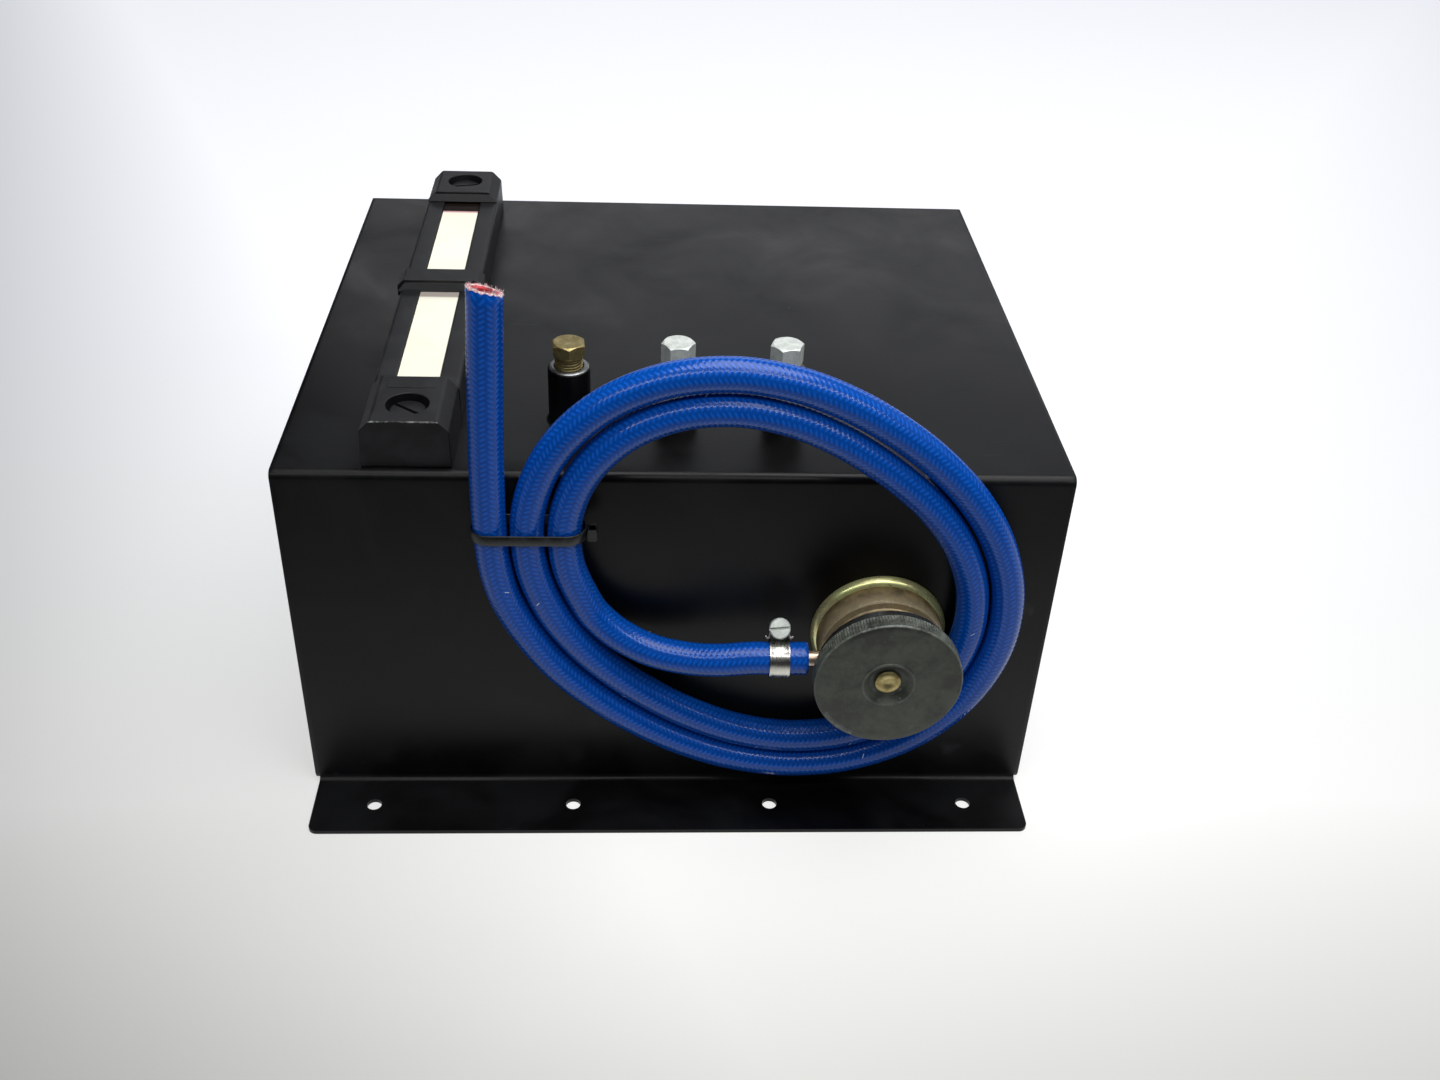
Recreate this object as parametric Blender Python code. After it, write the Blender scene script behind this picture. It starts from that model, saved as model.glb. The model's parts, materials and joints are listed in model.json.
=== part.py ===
"""Hydraulic reservoir: a folded sheet tank with a pressure filler cap, three plugged ports,
a level gauge and a coiled overflow hose. Metres, +Z up, origin at the middle of the base."""

import math

import bmesh
import bpy
from mathutils import Matrix, Vector

# Clearances
GAP = 0.0003
RUNNING_GAP = 0.0004

# Tank: a folded sheet with a plate welded over each end
TANK_WIDTH = 0.350
TANK_DEPTH = 0.305
TANK_HEIGHT = 0.180
SHEET = 0.002
FLANGE_REACH = 0.036
FLANGE_BEND_INSIDE = 0.003
TOP_BEND_OUTSIDE = 0.004
FLANGE_CORNER = 0.004
END_CORNER = 0.005
FLANGE_HOLES = 4
FLANGE_HOLE_RADIUS = 0.0035
FLANGE_HOLE_REACH = 0.0185
FLANGE_HOLE_INSET = 0.029

# Baffle across the inside
BAFFLE_X = 0.024
BAFFLE_FRONT_SPACE = 0.040
BAFFLE_NOTCH = 0.030

# Ports on the top face
PORT_XS = {"left": -0.0486, "middle": 0.0, "right": 0.0485}
PORT_INSET = 0.048
BOSS_RADIUS = 0.0095
BOSS_HEIGHT = 0.0275
BOSS_BELOW = 0.003
BOSS_CHAMFER = 0.0008
PORT_BORE_RADIUS = 0.0066
PLUG_ENGAGED = 0.012
THREAD_PITCH = 0.0013
THREAD_DEPTH = 0.0006
PLUG_CROWN = 0.0010
BRASS_HEX_ACROSS = 0.0140
BRASS_HEX_HEIGHT = 0.0065
BRASS_THREAD_SHOWN = 0.0051
STEEL_HEX_ACROSS = 0.0134
STEEL_HEX_HEIGHT = 0.0100
STEEL_THREAD_SHOWN = 0.0022
PLUG_TURNS = {"left": 4.5, "middle": 32.4, "right": 40.0}

# Tubes inside the tank
TUBE_WALL = 0.0015
TUBE_DROP = 0.080
TUBE_BEND = 0.035
TUBE_INTO_BOSS = 0.004
RETURN_TUBE_RUN = 0.130
STRAINER_RADIUS = 0.016
STRAINER_LENGTH = 0.055
STRAINER_WALL = 0.0015
STRAINER_SPACE = 0.025
STRAINER_OVERLAP = 0.012
TUBE_RESOLUTION = 3

# Level gauge along the left of the top face
GAUGE_X = -0.1167
GAUGE_FRONT_INSET = 0.020
GAUGE_REAR_INSET = 0.031
GAUGE_WIDTH = 0.039
GAUGE_CAP_SIDE = 0.0178
GAUGE_CAP_HEIGHT = 0.0228
GAUGE_CAP_TOP_WIDTH = 0.0285
GAUGE_FRONT_CAP_ENDS = (0.0155, 0.0245)
GAUGE_REAR_CAP_ENDS = (0.0165, 0.0150)
GAUGE_RAIL_HEIGHT = 0.0175
GAUGE_FLOOR = 0.004
GAUGE_WINDOW_WIDTH = 0.0196
GAUGE_TONGUE_WIDTH = 0.027
GAUGE_TONGUE_HEIGHT = 0.012
GAUGE_TONGUE_REACH = 0.012
GAUGE_DRAFT = 0.0010
GAUGE_CHANNEL_RADIUS = 0.002
GAUGE_CHANNEL_HEIGHT = 0.008
REFLECTOR_THICKNESS = 0.001
LENS_TOP = 0.0165
LENS_THICKNESS = 0.006
LENS_SIDE = 0.0015
CLIP_LENGTH = 0.0135
CLIP_HEIGHT = 0.0040
CLIP_CHAMFER = 0.0030
CLIP_WALL = 0.0015
CLIP_LEG = 0.0045
CLIP_FROM_FRONT_BOLT = 0.1315
GAUGE_RECESS_RADIUS = 0.0093
GAUGE_BOLT_RADIUS = 0.006
GAUGE_HEAD_RADIUS = 0.008
GAUGE_HEAD_HEIGHT = 0.0077
GAUGE_BOLT_BORE = 0.003
GAUGE_BOLT_END = 0.003
SLOT_WIDTH = 0.0016
SLOT_DEPTH = 0.0014
GAUGE_SLOT_TURNS = {"front": -38.0, "rear": 14.0}
SEAL_RADIUS = 0.010
SEAL_HEIGHT = 0.0017
NUT_ACROSS = 0.019
NUT_HEIGHT = 0.008

# Filler on the front face, measured outward from it
NECK_X = 0.0945
NECK_Z = 0.0960
NECK_BORE = 0.0210
NECK_RADIUS = 0.0245
NECK_INSIDE = 0.010
NECK_TOP = 0.0297
FLANGE_RING_RADIUS = 0.0315
FLANGE_RING_HEIGHT = 0.0045
FLANGE_RING_ROUND = 0.003
COLLAR_RADIUS = 0.0292
COLLAR_TOP = 0.0165
COLLAR_ROUND = 0.0010
SEAT_HEIGHT = 0.0120
SEAT_THICKNESS = 0.0015
SEAT_BORE = 0.0130
CAM_RADIUS = 0.0286
CAM_THICKNESS = 0.0025
CAM_RISE = 0.0020
NOTCH_RADIUS = 0.0253
EAR_HALF_ANGLE = 20.0
NOTCH_HALF_ANGLE = 22.0
CAP_SWEEP = 90.0
EDGE_ANGLE = 0.5

# Overflow spigot on the neck
SPIGOT_HEIGHT = 0.0210
SPIGOT_RADIUS = 0.0040
SPIGOT_BORE = 0.0026
SPIGOT_IN_HOSE = 0.024

# Pressure cap
TOP_SEAL_RADIUS = 0.0275
TOP_SEAL_THICKNESS = 0.0012
CUP_RADIUS = 0.0310
CUP_WALL = 0.0012
EAR_THICKNESS = 0.0015
EAR_REACH = 0.0036
EAR_STUB = 0.0003
COVER_RADIUS = 0.0334
COVER_FACE = 0.0397
COVER_RIM_BACK = 0.0312
COVER_ROUND = 0.0008
RECESS_RADIUS = 0.0110
RECESS_FLOOR_RADIUS = 0.0095
RECESS_DEPTH = 0.0028
RIVET_RADIUS = 0.0040
RIVET_HEAD_RADIUS = 0.0060
RIVET_HEAD_HEIGHT = 0.0014
RIVET_FOOT_RADIUS = 0.0065
RIVET_FOOT_HEIGHT = 0.0017
CAGE_RADIUS = 0.0184
CAGE_WALL = 0.0010
CAGE_PLATE = 0.0012
CAGE_LIP = 0.0009
CAGE_LIP_HEIGHT = 0.0007
PRESSURE_PLATE_THICKNESS = 0.0012
PRESSURE_SEAL_BORE = 0.0095
PRESSURE_SEAL_THICKNESS = 0.0010
PRESSURE_SPRING_RADIUS = 0.0110
PRESSURE_SPRING_WIRE = 0.0010
PRESSURE_SPRING_TURNS = 4
VACUUM_DISC_RADIUS = 0.0070
VACUUM_DISC_HEIGHT = 0.0012
VACUUM_STEM_RADIUS = 0.0024
VACUUM_STEM_HEIGHT = 0.0067
VACUUM_CLIP_RADIUS = 0.0042
VACUUM_CLIP_HEIGHT = 0.0010
VACUUM_SPRING_WIRE = 0.0004
VACUUM_SPRING_TURNS = 3

# Overflow hose; places along it are X, outward from the front face, Z
HOSE_RADIUS = 0.0075
HOSE_END_X = 0.0598
COIL_STANDOFF = 0.0095
COIL_CENTRE_X = 0.0388
COIL_CENTRE_Z = 0.1328
COIL_RADIUS = 0.0818
COIL_GROWTH = 0.0165
COIL_OVAL = 0.0120
COIL_OVAL_ANGLE = 141.5
COIL_START_ANGLE = 190.0
COIL_TURNS = 2
LEAD_STRAIGHT = (HOSE_END_X, 0.0460, 0.0340)
LEAD_ROUTE = (
    (0.0200, 0.0207, 0.0946),
    (0.0060, 0.0186, 0.0938),
    (-0.0100, 0.0157, 0.0958),
    (-0.0240, 0.0125, 0.1015),
    (-0.0340, 0.0103, 0.1095),
)
TAIL_ROUTE = (
    (-0.0792, 0.0095, 0.1340),
    (-0.0812, 0.0095, 0.1570),
    (-0.0812, 0.0095, 0.1840),
    (-0.0803, 0.0095, 0.2130),
    (-0.0790, 0.0095, 0.2420),
    (-0.0776, 0.0095, 0.2710),
)
SEAM_STRAIGHT = 0.005
LOOP_POINTS = 24
LOOP_RESOLUTION = 1
LEAD_POINTS_PER_SPAN = 2
TAIL_POINTS_PER_SPAN = 1
FREE_RESOLUTION = 4

# Hose clamp
CLAMP_X = 0.0467
CLAMP_TILT = 38.0
BAND_WIDTH = 0.009
BAND_THICKNESS = 0.0007
CLAMP_SCREW_RADIUS = 0.0033
CLAMP_SCREW_LENGTH = 0.015
CLAMP_HEAD_RADIUS = 0.0048
CLAMP_HEAD_HEIGHT = 0.0030
CLAMP_HOUSING_WALL = 0.0010
CLAMP_HOUSING_LENGTH = 0.0100
CLAMP_SLOT_TURN = 5.0

# Cable tie round three strands
TIE_Z = 0.1565
TIE_WIDTH = 0.0046
TIE_THICKNESS = 0.0011
TIE_CLEARANCE = 0.0006
TIE_HEAD_WIDTH = 0.0042
TIE_HEAD_DEPTH = 0.0060
TIE_HEAD_HEIGHT = 0.0078

# Facets
ROUND_STEPS = 32
SMALL_STEPS = 18
CURL_POINTS = 10
HOLE_STEPS = 12
BEND_STEPS = 3

FRONT = -TANK_DEPTH / 2
BACK = TANK_DEPTH / 2
TOP = TANK_HEIGHT
WRAP_HALF = TANK_WIDTH / 2 - SHEET - GAP
GAUGE_FRONT_Y = FRONT + GAUGE_FRONT_INSET
GAUGE_REAR_Y = BACK - GAUGE_REAR_INSET
HOSE_BORE = SPIGOT_RADIUS + GAP
TUBE_RADIUS = PORT_BORE_RADIUS - GAP
CAM_UNDERSIDE = NECK_TOP - CAM_THICKNESS
CUP_PLATE_BACK = NECK_TOP + TOP_SEAL_THICKNESS + 2 * GAP
COVER_BACK = CUP_PLATE_BACK + CUP_WALL + GAP
RIVET_HOLE = RIVET_RADIUS + GAP
CAGE_TOP = NECK_TOP - GAP
PRESSURE_SEAL_BACK = SEAT_HEIGHT + GAP
PRESSURE_PLATE_BACK = PRESSURE_SEAL_BACK + PRESSURE_SEAL_THICKNESS + GAP
PRESSURE_PLATE_TOP = PRESSURE_PLATE_BACK + PRESSURE_PLATE_THICKNESS
PRESSURE_PLATE_RADIUS = CAGE_RADIUS - CAGE_WALL - RUNNING_GAP
SPRING_TOP = CAGE_TOP - CAGE_PLATE - GAP

FINISHES = {
    "black_paint": ((0.012, 0.012, 0.014), 0.45, 0.0),
    "bare_steel": ((0.42, 0.42, 0.41), 0.40, 1.0),
    "brass": ((0.36, 0.25, 0.10), 0.38, 1.0),
    "zinc": ((0.55, 0.57, 0.58), 0.45, 1.0),
    "yellow_passivate": ((0.52, 0.50, 0.20), 0.32, 1.0),
    "copper": ((0.60, 0.34, 0.20), 0.30, 1.0),
    "stainless": ((0.70, 0.69, 0.66), 0.25, 1.0),
    "spring_steel": ((0.35, 0.35, 0.36), 0.35, 1.0),
    "black_moulding": ((0.020, 0.021, 0.023), 0.50, 0.0),
    "cap_moulding": ((0.045, 0.052, 0.047), 0.55, 0.0),
    "cream_card": ((0.92, 0.88, 0.70), 0.60, 0.0),
    "clear_lens": ((0.90, 0.90, 0.88), 0.10, 0.0),
    "rubber": ((0.015, 0.015, 0.015), 0.75, 0.0),
    "blue_silicone": ((0.006, 0.045, 0.330), 0.40, 0.0),
    "nylon": ((0.010, 0.010, 0.010), 0.45, 0.0),
}


def clear_scene():
    for obj in list(bpy.data.objects):
        bpy.data.objects.remove(obj, do_unlink=True)


def finish(name):
    mat = bpy.data.materials.get(name)
    if mat:
        return mat
    colour, roughness, metallic = FINISHES[name]
    mat = bpy.data.materials.new(name)
    mat.use_nodes = True
    shader = mat.node_tree.nodes["Principled BSDF"]
    shader.inputs["Base Color"].default_value = (*colour, 1.0)
    shader.inputs["Roughness"].default_value = roughness
    shader.inputs["Metallic"].default_value = metallic
    return mat


def add_object(name, mesh, parent=None):
    obj = bpy.data.objects.new(name, mesh)
    bpy.context.scene.collection.objects.link(obj)
    obj.parent = parent
    return obj


def add_part(name, shape, finish_name, parent=None):
    """One sub-part from a bmesh, shaded smooth except over its edges."""
    mesh = bpy.data.meshes.new(name)
    shape.to_mesh(mesh)
    shape.free()
    mesh.shade_smooth()
    mesh.set_sharp_from_angle(angle=math.radians(35))
    mesh.materials.append(finish(finish_name))
    return add_object(name, mesh, parent)


def add_empty(name, location, tilt=0.0, parent=None):
    """A frame whose axes are the world's, turned about X by tilt."""
    empty = bpy.data.objects.new(name, None)
    bpy.context.scene.collection.objects.link(empty)
    empty.location = location
    empty.rotation_euler = (tilt, 0.0, 0.0)
    empty.parent = parent
    return empty


def combine(part, tool_shape, operation):
    """Cuts a shape out of a part, or joins it on, and keeps the tool as a hidden guide."""
    mesh = bpy.data.meshes.new(part.name + "_tool")
    tool_shape.to_mesh(mesh)
    tool_shape.free()
    tool = add_object(mesh.name, mesh, part.parent)
    tool.hide_render = True
    tool.display_type = "WIRE"
    modifier = part.modifiers.new(operation.lower(), "BOOLEAN")
    modifier.operation = operation
    modifier.solver = "EXACT"
    modifier.object = tool


def merged(shapes):
    """Several separate closed shapes in one bmesh."""
    whole = bmesh.new()
    for shape in shapes:
        mesh = bpy.data.meshes.new("merge")
        shape.to_mesh(mesh)
        shape.free()
        whole.from_mesh(mesh)
        bpy.data.meshes.remove(mesh)
    return whole


def placed(shape, matrix):
    shape.transform(matrix)
    return shape


def box(low, high):
    shape = bmesh.new()
    size = Vector(high) - Vector(low)
    middle = (Vector(high) + Vector(low)) / 2
    matrix = Matrix.Translation(middle) @ Matrix.Diagonal((*size, 1.0))
    bmesh.ops.create_cube(shape, size=1.0, matrix=matrix)
    return shape


def extruded(outline, axis, start, end):
    """A closed outline in the two other axes, in their X, Y, Z order, extruded along an axis."""
    shape = bmesh.new()
    rings = []
    for distance in (start, end):
        ring = []
        for point in outline:
            place = list(point)
            place.insert("XYZ".index(axis), distance)
            ring.append(shape.verts.new(place))
        rings.append(ring)
    shape.faces.new(rings[0])
    shape.faces.new(rings[1])
    count = len(outline)
    for index in range(count):
        after = (index + 1) % count
        shape.faces.new((rings[0][index], rings[0][after], rings[1][after], rings[1][index]))
    bmesh.ops.recalc_face_normals(shape, faces=shape.faces)
    return shape


def even_angles(steps):
    return [360.0 * step / steps for step in range(steps)]


def turned(profile, angles=None):
    """A closed section of (radius, height) points, or a function of the angle, turned about Z."""
    angles = angles or even_angles(SMALL_STEPS)
    shape = bmesh.new()
    rings = []
    for angle in angles:
        section = profile(angle) if callable(profile) else profile
        across = math.cos(math.radians(angle))
        along = math.sin(math.radians(angle))
        ring = [shape.verts.new((radius * across, radius * along, height)) for radius, height in section]
        rings.append(ring)
    count = len(rings[0])
    for index, ring in enumerate(rings):
        following = rings[(index + 1) % len(rings)]
        for point in range(count):
            after = (point + 1) % count
            shape.faces.new((ring[point], following[point], following[after], ring[after]))
    bmesh.ops.recalc_face_normals(shape, faces=shape.faces)
    return shape


def spindle(section):
    """A solid turned body from its outer (radius, height) points, bottom to top."""
    shape = bmesh.new()
    rings = []
    for radius, height in section:
        ring = []
        for angle in even_angles(SMALL_STEPS):
            turn = math.radians(angle)
            ring.append(shape.verts.new((radius * math.cos(turn), radius * math.sin(turn), height)))
        rings.append(ring)
    shape.faces.new(rings[0][::-1])
    shape.faces.new(rings[-1])
    for lower, upper in zip(rings, rings[1:]):
        for step in range(SMALL_STEPS):
            after = (step + 1) % SMALL_STEPS
            shape.faces.new((lower[step], lower[after], upper[after], upper[step]))
    bmesh.ops.recalc_face_normals(shape, faces=shape.faces)
    return shape


def cylinder(radius, low, high, sides=SMALL_STEPS):
    shape = bmesh.new()
    matrix = Matrix.Translation((0.0, 0.0, (low + high) / 2))
    bmesh.ops.create_cone(
        shape, cap_ends=True, segments=sides, radius1=radius, radius2=radius, depth=high - low, matrix=matrix
    )
    return shape


def disc(outer, low, high, inner):
    return turned([(inner, low), (outer, low), (outer, high), (inner, high)])


def hexagon(across, low, high, turn):
    shape = cylinder(across / math.sqrt(3.0), low, high, sides=6)
    return placed(shape, Matrix.Rotation(math.radians(turn), 4, "Z"))


def arc(centre, radius, start, end, steps=BEND_STEPS):
    """Points on an arc from one angle in degrees to another."""
    points = []
    for step in range(steps + 1):
        angle = math.radians(start + (end - start) * step / steps)
        points.append((centre[0] + radius * math.cos(angle), centre[1] + radius * math.sin(angle)))
    return points


def rounded_path(corners, radii):
    """A path with each inner corner rounded, as points with their left-hand normals."""
    path = []
    points = [Vector(corner) for corner in corners]
    for index, point in enumerate(points):
        if index in (0, len(points) - 1):
            other = points[1] if index == 0 else points[-2]
            heading = (other - point if index == 0 else point - other).normalized()
            path.append((point, Vector((-heading.y, heading.x))))
            continue
        before = (point - points[index - 1]).normalized()
        after = (points[index + 1] - point).normalized()
        side = math.copysign(1.0, before.cross(after))
        bend = before.angle(after)
        trim = radii[index - 1] * math.tan(bend / 2)
        start_normal = Vector((-before.y, before.x))
        centre = point - before * trim + start_normal * side * radii[index - 1]
        for step in range(BEND_STEPS + 1):
            turn = Matrix.Rotation(side * bend * step / BEND_STEPS, 2)
            normal = turn @ start_normal
            path.append((centre - normal * side * radii[index - 1], normal))
    return path


def strip_outline(path, thickness):
    """The closed outline of a strip of sheet bent along a path."""
    left = [point + normal * thickness / 2 for point, normal in path]
    right = [point - normal * thickness / 2 for point, normal in path]
    return [tuple(point) for point in left + right[::-1]]


def smooth_curve(route, per_span):
    """Points read from a smooth curve through a route's own points."""
    points = [Vector(point) for point in route]
    points = [2 * points[0] - points[1], *points, 2 * points[-1] - points[-2]]
    curve = []
    for index in range(1, len(points) - 2):
        before, start, end, after = points[index - 1 : index + 3]
        for step in range(per_span):
            t = step / per_span
            bend = (end - before) * t
            bend += (2 * before - 5 * start + 4 * end - after) * t**2
            bend += (3 * start - before - 3 * end + after) * t**3
            curve.append(start + bend / 2)
    curve.append(points[-2])
    return curve


def tube_mesh(name, points, radius, resolution):
    """A round tube with filled ends along points, as a mesh."""
    curve = bpy.data.curves.new(name, "CURVE")
    curve.dimensions = "3D"
    curve.bevel_depth = radius
    curve.bevel_resolution = resolution
    curve.use_fill_caps = True
    spline = curve.splines.new("POLY")
    spline.points.add(len(points) - 1)
    for target, point in zip(spline.points, points):
        target.co = (*point, 1.0)
    guide = add_object(name, curve)
    bpy.context.view_layer.update()
    evaluated = guide.evaluated_get(bpy.context.evaluated_depsgraph_get())
    mesh = bpy.data.meshes.new_from_object(evaluated)
    bpy.data.objects.remove(guide, do_unlink=True)
    shape = bmesh.new()
    shape.from_mesh(mesh)
    bpy.data.meshes.remove(mesh)
    bmesh.ops.remove_doubles(shape, verts=shape.verts, dist=1e-6)
    bmesh.ops.recalc_face_normals(shape, faces=shape.faces)
    return shape


def add_hollow_tube(name, points, radius, bore, resolution, finish_name):
    """A tube with its bore cut through both ends."""
    part = add_part(name, tube_mesh(name, points, radius, resolution), finish_name)
    first = points[0] + (points[0] - points[1]).normalized() * radius
    last = points[-1] + (points[-1] - points[-2]).normalized() * radius
    combine(part, tube_mesh(name + "_bore", [first, *points, last], bore, resolution - 1), "DIFFERENCE")
    return part


def build_tank():
    """The folded wrapper, its end plates, its base and its baffle."""
    middle = SHEET / 2
    corners = (
        (FRONT - FLANGE_REACH, middle),
        (FRONT + middle, middle),
        (FRONT + middle, TOP - middle),
        (BACK - middle, TOP - middle),
        (BACK - middle, middle),
        (BACK + FLANGE_REACH, middle),
    )
    flange_bend = FLANGE_BEND_INSIDE + middle
    top_bend = TOP_BEND_OUTSIDE - middle
    path = rounded_path(corners, (flange_bend, top_bend, top_bend, flange_bend))
    shape = extruded(strip_outline(path, SHEET), "X", -WRAP_HALF, WRAP_HALF)
    tips = []
    for edge in shape.edges:
        ends = [abs(vert.co.y) > BACK + FLANGE_REACH - GAP for vert in edge.verts]
        upright = abs(edge.verts[0].co.z - edge.verts[1].co.z) > middle
        if all(ends) and upright:
            tips.append(edge)
    bmesh.ops.bevel(shape, geom=tips, offset=FLANGE_CORNER, segments=BEND_STEPS, profile=0.5, affect="EDGES")
    wrapper = add_part("tank_wrapper", shape, "black_paint")

    cutters = []
    first_hole = FLANGE_HOLE_INSET - WRAP_HALF
    hole_pitch = -2 * first_hole / (FLANGE_HOLES - 1)
    for index in range(FLANGE_HOLES):
        for side in (-1, 1):
            centre = (first_hole + index * hole_pitch, side * (BACK + FLANGE_HOLE_REACH), 0.0)
            hole = cylinder(FLANGE_HOLE_RADIUS, -SHEET, 2 * SHEET, sides=HOLE_STEPS)
            cutters.append(placed(hole, Matrix.Translation(centre)))
    for port_x in PORT_XS.values():
        hole = cylinder(BOSS_RADIUS + GAP, TOP - 2 * SHEET, TOP + SHEET)
        cutters.append(placed(hole, Matrix.Translation((port_x, FRONT + PORT_INSET, 0.0))))
    for bolt_y in (GAUGE_FRONT_Y, GAUGE_REAR_Y):
        hole = cylinder(GAUGE_BOLT_RADIUS + GAP, TOP - 2 * SHEET, TOP + SHEET)
        cutters.append(placed(hole, Matrix.Translation((GAUGE_X, bolt_y, 0.0))))
    filler_hole = cylinder(NECK_RADIUS + GAP, -2 * SHEET, SHEET, sides=ROUND_STEPS)
    cutters.append(placed(filler_hole, filler_matrix()))
    combine(wrapper, merged(cutters), "DIFFERENCE")

    outline = arc((FRONT + END_CORNER, END_CORNER), END_CORNER, 180, 270)
    outline += arc((BACK - END_CORNER, END_CORNER), END_CORNER, 270, 360)
    outline += arc((BACK - TOP_BEND_OUTSIDE, TOP - TOP_BEND_OUTSIDE), TOP_BEND_OUTSIDE, 0, 90)
    outline += arc((FRONT + TOP_BEND_OUTSIDE, TOP - TOP_BEND_OUTSIDE), TOP_BEND_OUTSIDE, 90, 180)
    half = TANK_WIDTH / 2
    add_part("left_end_plate", extruded(outline, "X", -half, SHEET - half), "black_paint")
    add_part("right_end_plate", extruded(outline, "X", half - SHEET, half), "black_paint")

    # The base reaches under the flange bends as far as their curve lets it.
    outer_bend = FLANGE_BEND_INSIDE + SHEET
    under_bend = math.sqrt(outer_bend**2 - FLANGE_BEND_INSIDE**2) - FLANGE_BEND_INSIDE
    base_front = FRONT + under_bend + GAP
    add_part("base_plate", box((-WRAP_HALF, base_front, 0.0), (WRAP_HALF, -base_front, SHEET)), "black_paint")

    low = SHEET + GAP
    high = TOP - SHEET - GAP
    near = FRONT + SHEET + BAFFLE_FRONT_SPACE
    far = BACK - SHEET - GAP
    inner_bend = TOP_BEND_OUTSIDE - SHEET
    baffle = [(near, low), (far - BAFFLE_NOTCH, low), (far - BAFFLE_NOTCH, low + BAFFLE_NOTCH)]
    baffle += [(far, low + BAFFLE_NOTCH), (far, high - inner_bend), (far - inner_bend, high), (near, high)]
    add_part("baffle_plate", extruded(baffle, "X", BAFFLE_X, BAFFLE_X + SHEET), "bare_steel")


def build_ports():
    """Bosses welded into the top face, each closed by a hexagon plug."""
    for side, port_x in PORT_XS.items():
        port = add_empty(side + "_port", (port_x, FRONT + PORT_INSET, TOP))
        section = [(PORT_BORE_RADIUS, -SHEET - BOSS_BELOW), (BOSS_RADIUS, -SHEET - BOSS_BELOW)]
        section += [(BOSS_RADIUS, BOSS_HEIGHT - BOSS_CHAMFER), (BOSS_RADIUS - BOSS_CHAMFER, BOSS_HEIGHT)]
        section.append((PORT_BORE_RADIUS, BOSS_HEIGHT))
        add_part(side + "_port_boss", turned(section), "black_paint", port)

        brass = side == "left"
        across = BRASS_HEX_ACROSS if brass else STEEL_HEX_ACROSS
        height = BRASS_HEX_HEIGHT if brass else STEEL_HEX_HEIGHT
        shown = BRASS_THREAD_SHOWN if brass else STEEL_THREAD_SHOWN
        plug_frame = add_empty(side + "_plug_frame", (0.0, 0.0, BOSS_HEIGHT), parent=port)
        head = hexagon(across, shown, shown + height, PLUG_TURNS[side])
        crown = [edge for edge in head.edges if all(vert.co.z > shown + height / 2 for vert in edge.verts)]
        bmesh.ops.bevel(head, geom=crown, offset=PLUG_CROWN, segments=1, affect="EDGES")
        plug = add_part(side + "_port_plug", head, "brass" if brass else "zinc", plug_frame)
        radius = PORT_BORE_RADIUS - GAP
        root = radius - THREAD_DEPTH
        rings = round(shown / THREAD_PITCH)
        pitch = shown / rings
        section = [(root, -PLUG_ENGAGED), (radius, THREAD_DEPTH - PLUG_ENGAGED), (radius, 0.0)]
        for index in range(rings):
            section += [(root, (index + 0.5) * pitch), (radius, (index + 1) * pitch)]
        section.append((radius, shown + height / 2))
        combine(plug, spindle(section), "UNION")


def tube_route(port_x, run_end):
    """Down out of a boss, round one bend and back towards the rear of the tank."""
    port_y = FRONT + PORT_INSET
    bottom = TOP - TUBE_DROP
    start = TOP + TUBE_INTO_BOSS
    path = rounded_path(((port_y, start), (port_y, bottom), (run_end, bottom)), (TUBE_BEND,))
    return [Vector((port_x, point.x, point.y)) for point, normal in path]


def build_tubes():
    """The suction tube with its strainer, and the return tube."""
    strainer_end = BACK - SHEET - STRAINER_SPACE
    strainer_start = strainer_end - STRAINER_LENGTH
    suction = tube_route(PORT_XS["left"], strainer_start + STRAINER_OVERLAP)
    bore = TUBE_RADIUS - TUBE_WALL
    add_hollow_tube("suction_tube", suction, TUBE_RADIUS, bore, TUBE_RESOLUTION, "bare_steel")
    returning = tube_route(PORT_XS["right"], FRONT + PORT_INSET + RETURN_TUBE_RUN)
    add_hollow_tube("return_tube", returning, TUBE_RADIUS, bore, TUBE_RESOLUTION, "bare_steel")

    inside = STRAINER_RADIUS - STRAINER_WALL
    mouth = TUBE_RADIUS + GAP
    strainer = spindle([(STRAINER_RADIUS, 0.0), (STRAINER_RADIUS, STRAINER_LENGTH)])
    strainer_place = (PORT_XS["left"], strainer_start, TOP - TUBE_DROP)
    frame = add_empty("strainer_frame", strainer_place, -math.pi / 2)
    part = add_part("suction_strainer", strainer, "zinc", frame)
    hollow = [(mouth, -STRAINER_WALL), (mouth, STRAINER_WALL), (inside, STRAINER_WALL)]
    hollow.append((inside, STRAINER_LENGTH - STRAINER_WALL))
    combine(part, spindle(hollow), "DIFFERENCE")


def gauge_cap_section():
    """The moulded section of the gauge's end caps."""
    half = GAUGE_WIDTH / 2
    drawn_in = half - GAUGE_DRAFT / 2
    upper = GAUGE_CAP_TOP_WIDTH / 2
    right = [(half, GAP), (drawn_in, GAUGE_CAP_SIDE), (upper, GAUGE_CAP_HEIGHT)]
    left = [(-across, height) for across, height in reversed(right)]
    return [(GAUGE_X + across, TOP + height) for across, height in right + left]


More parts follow.
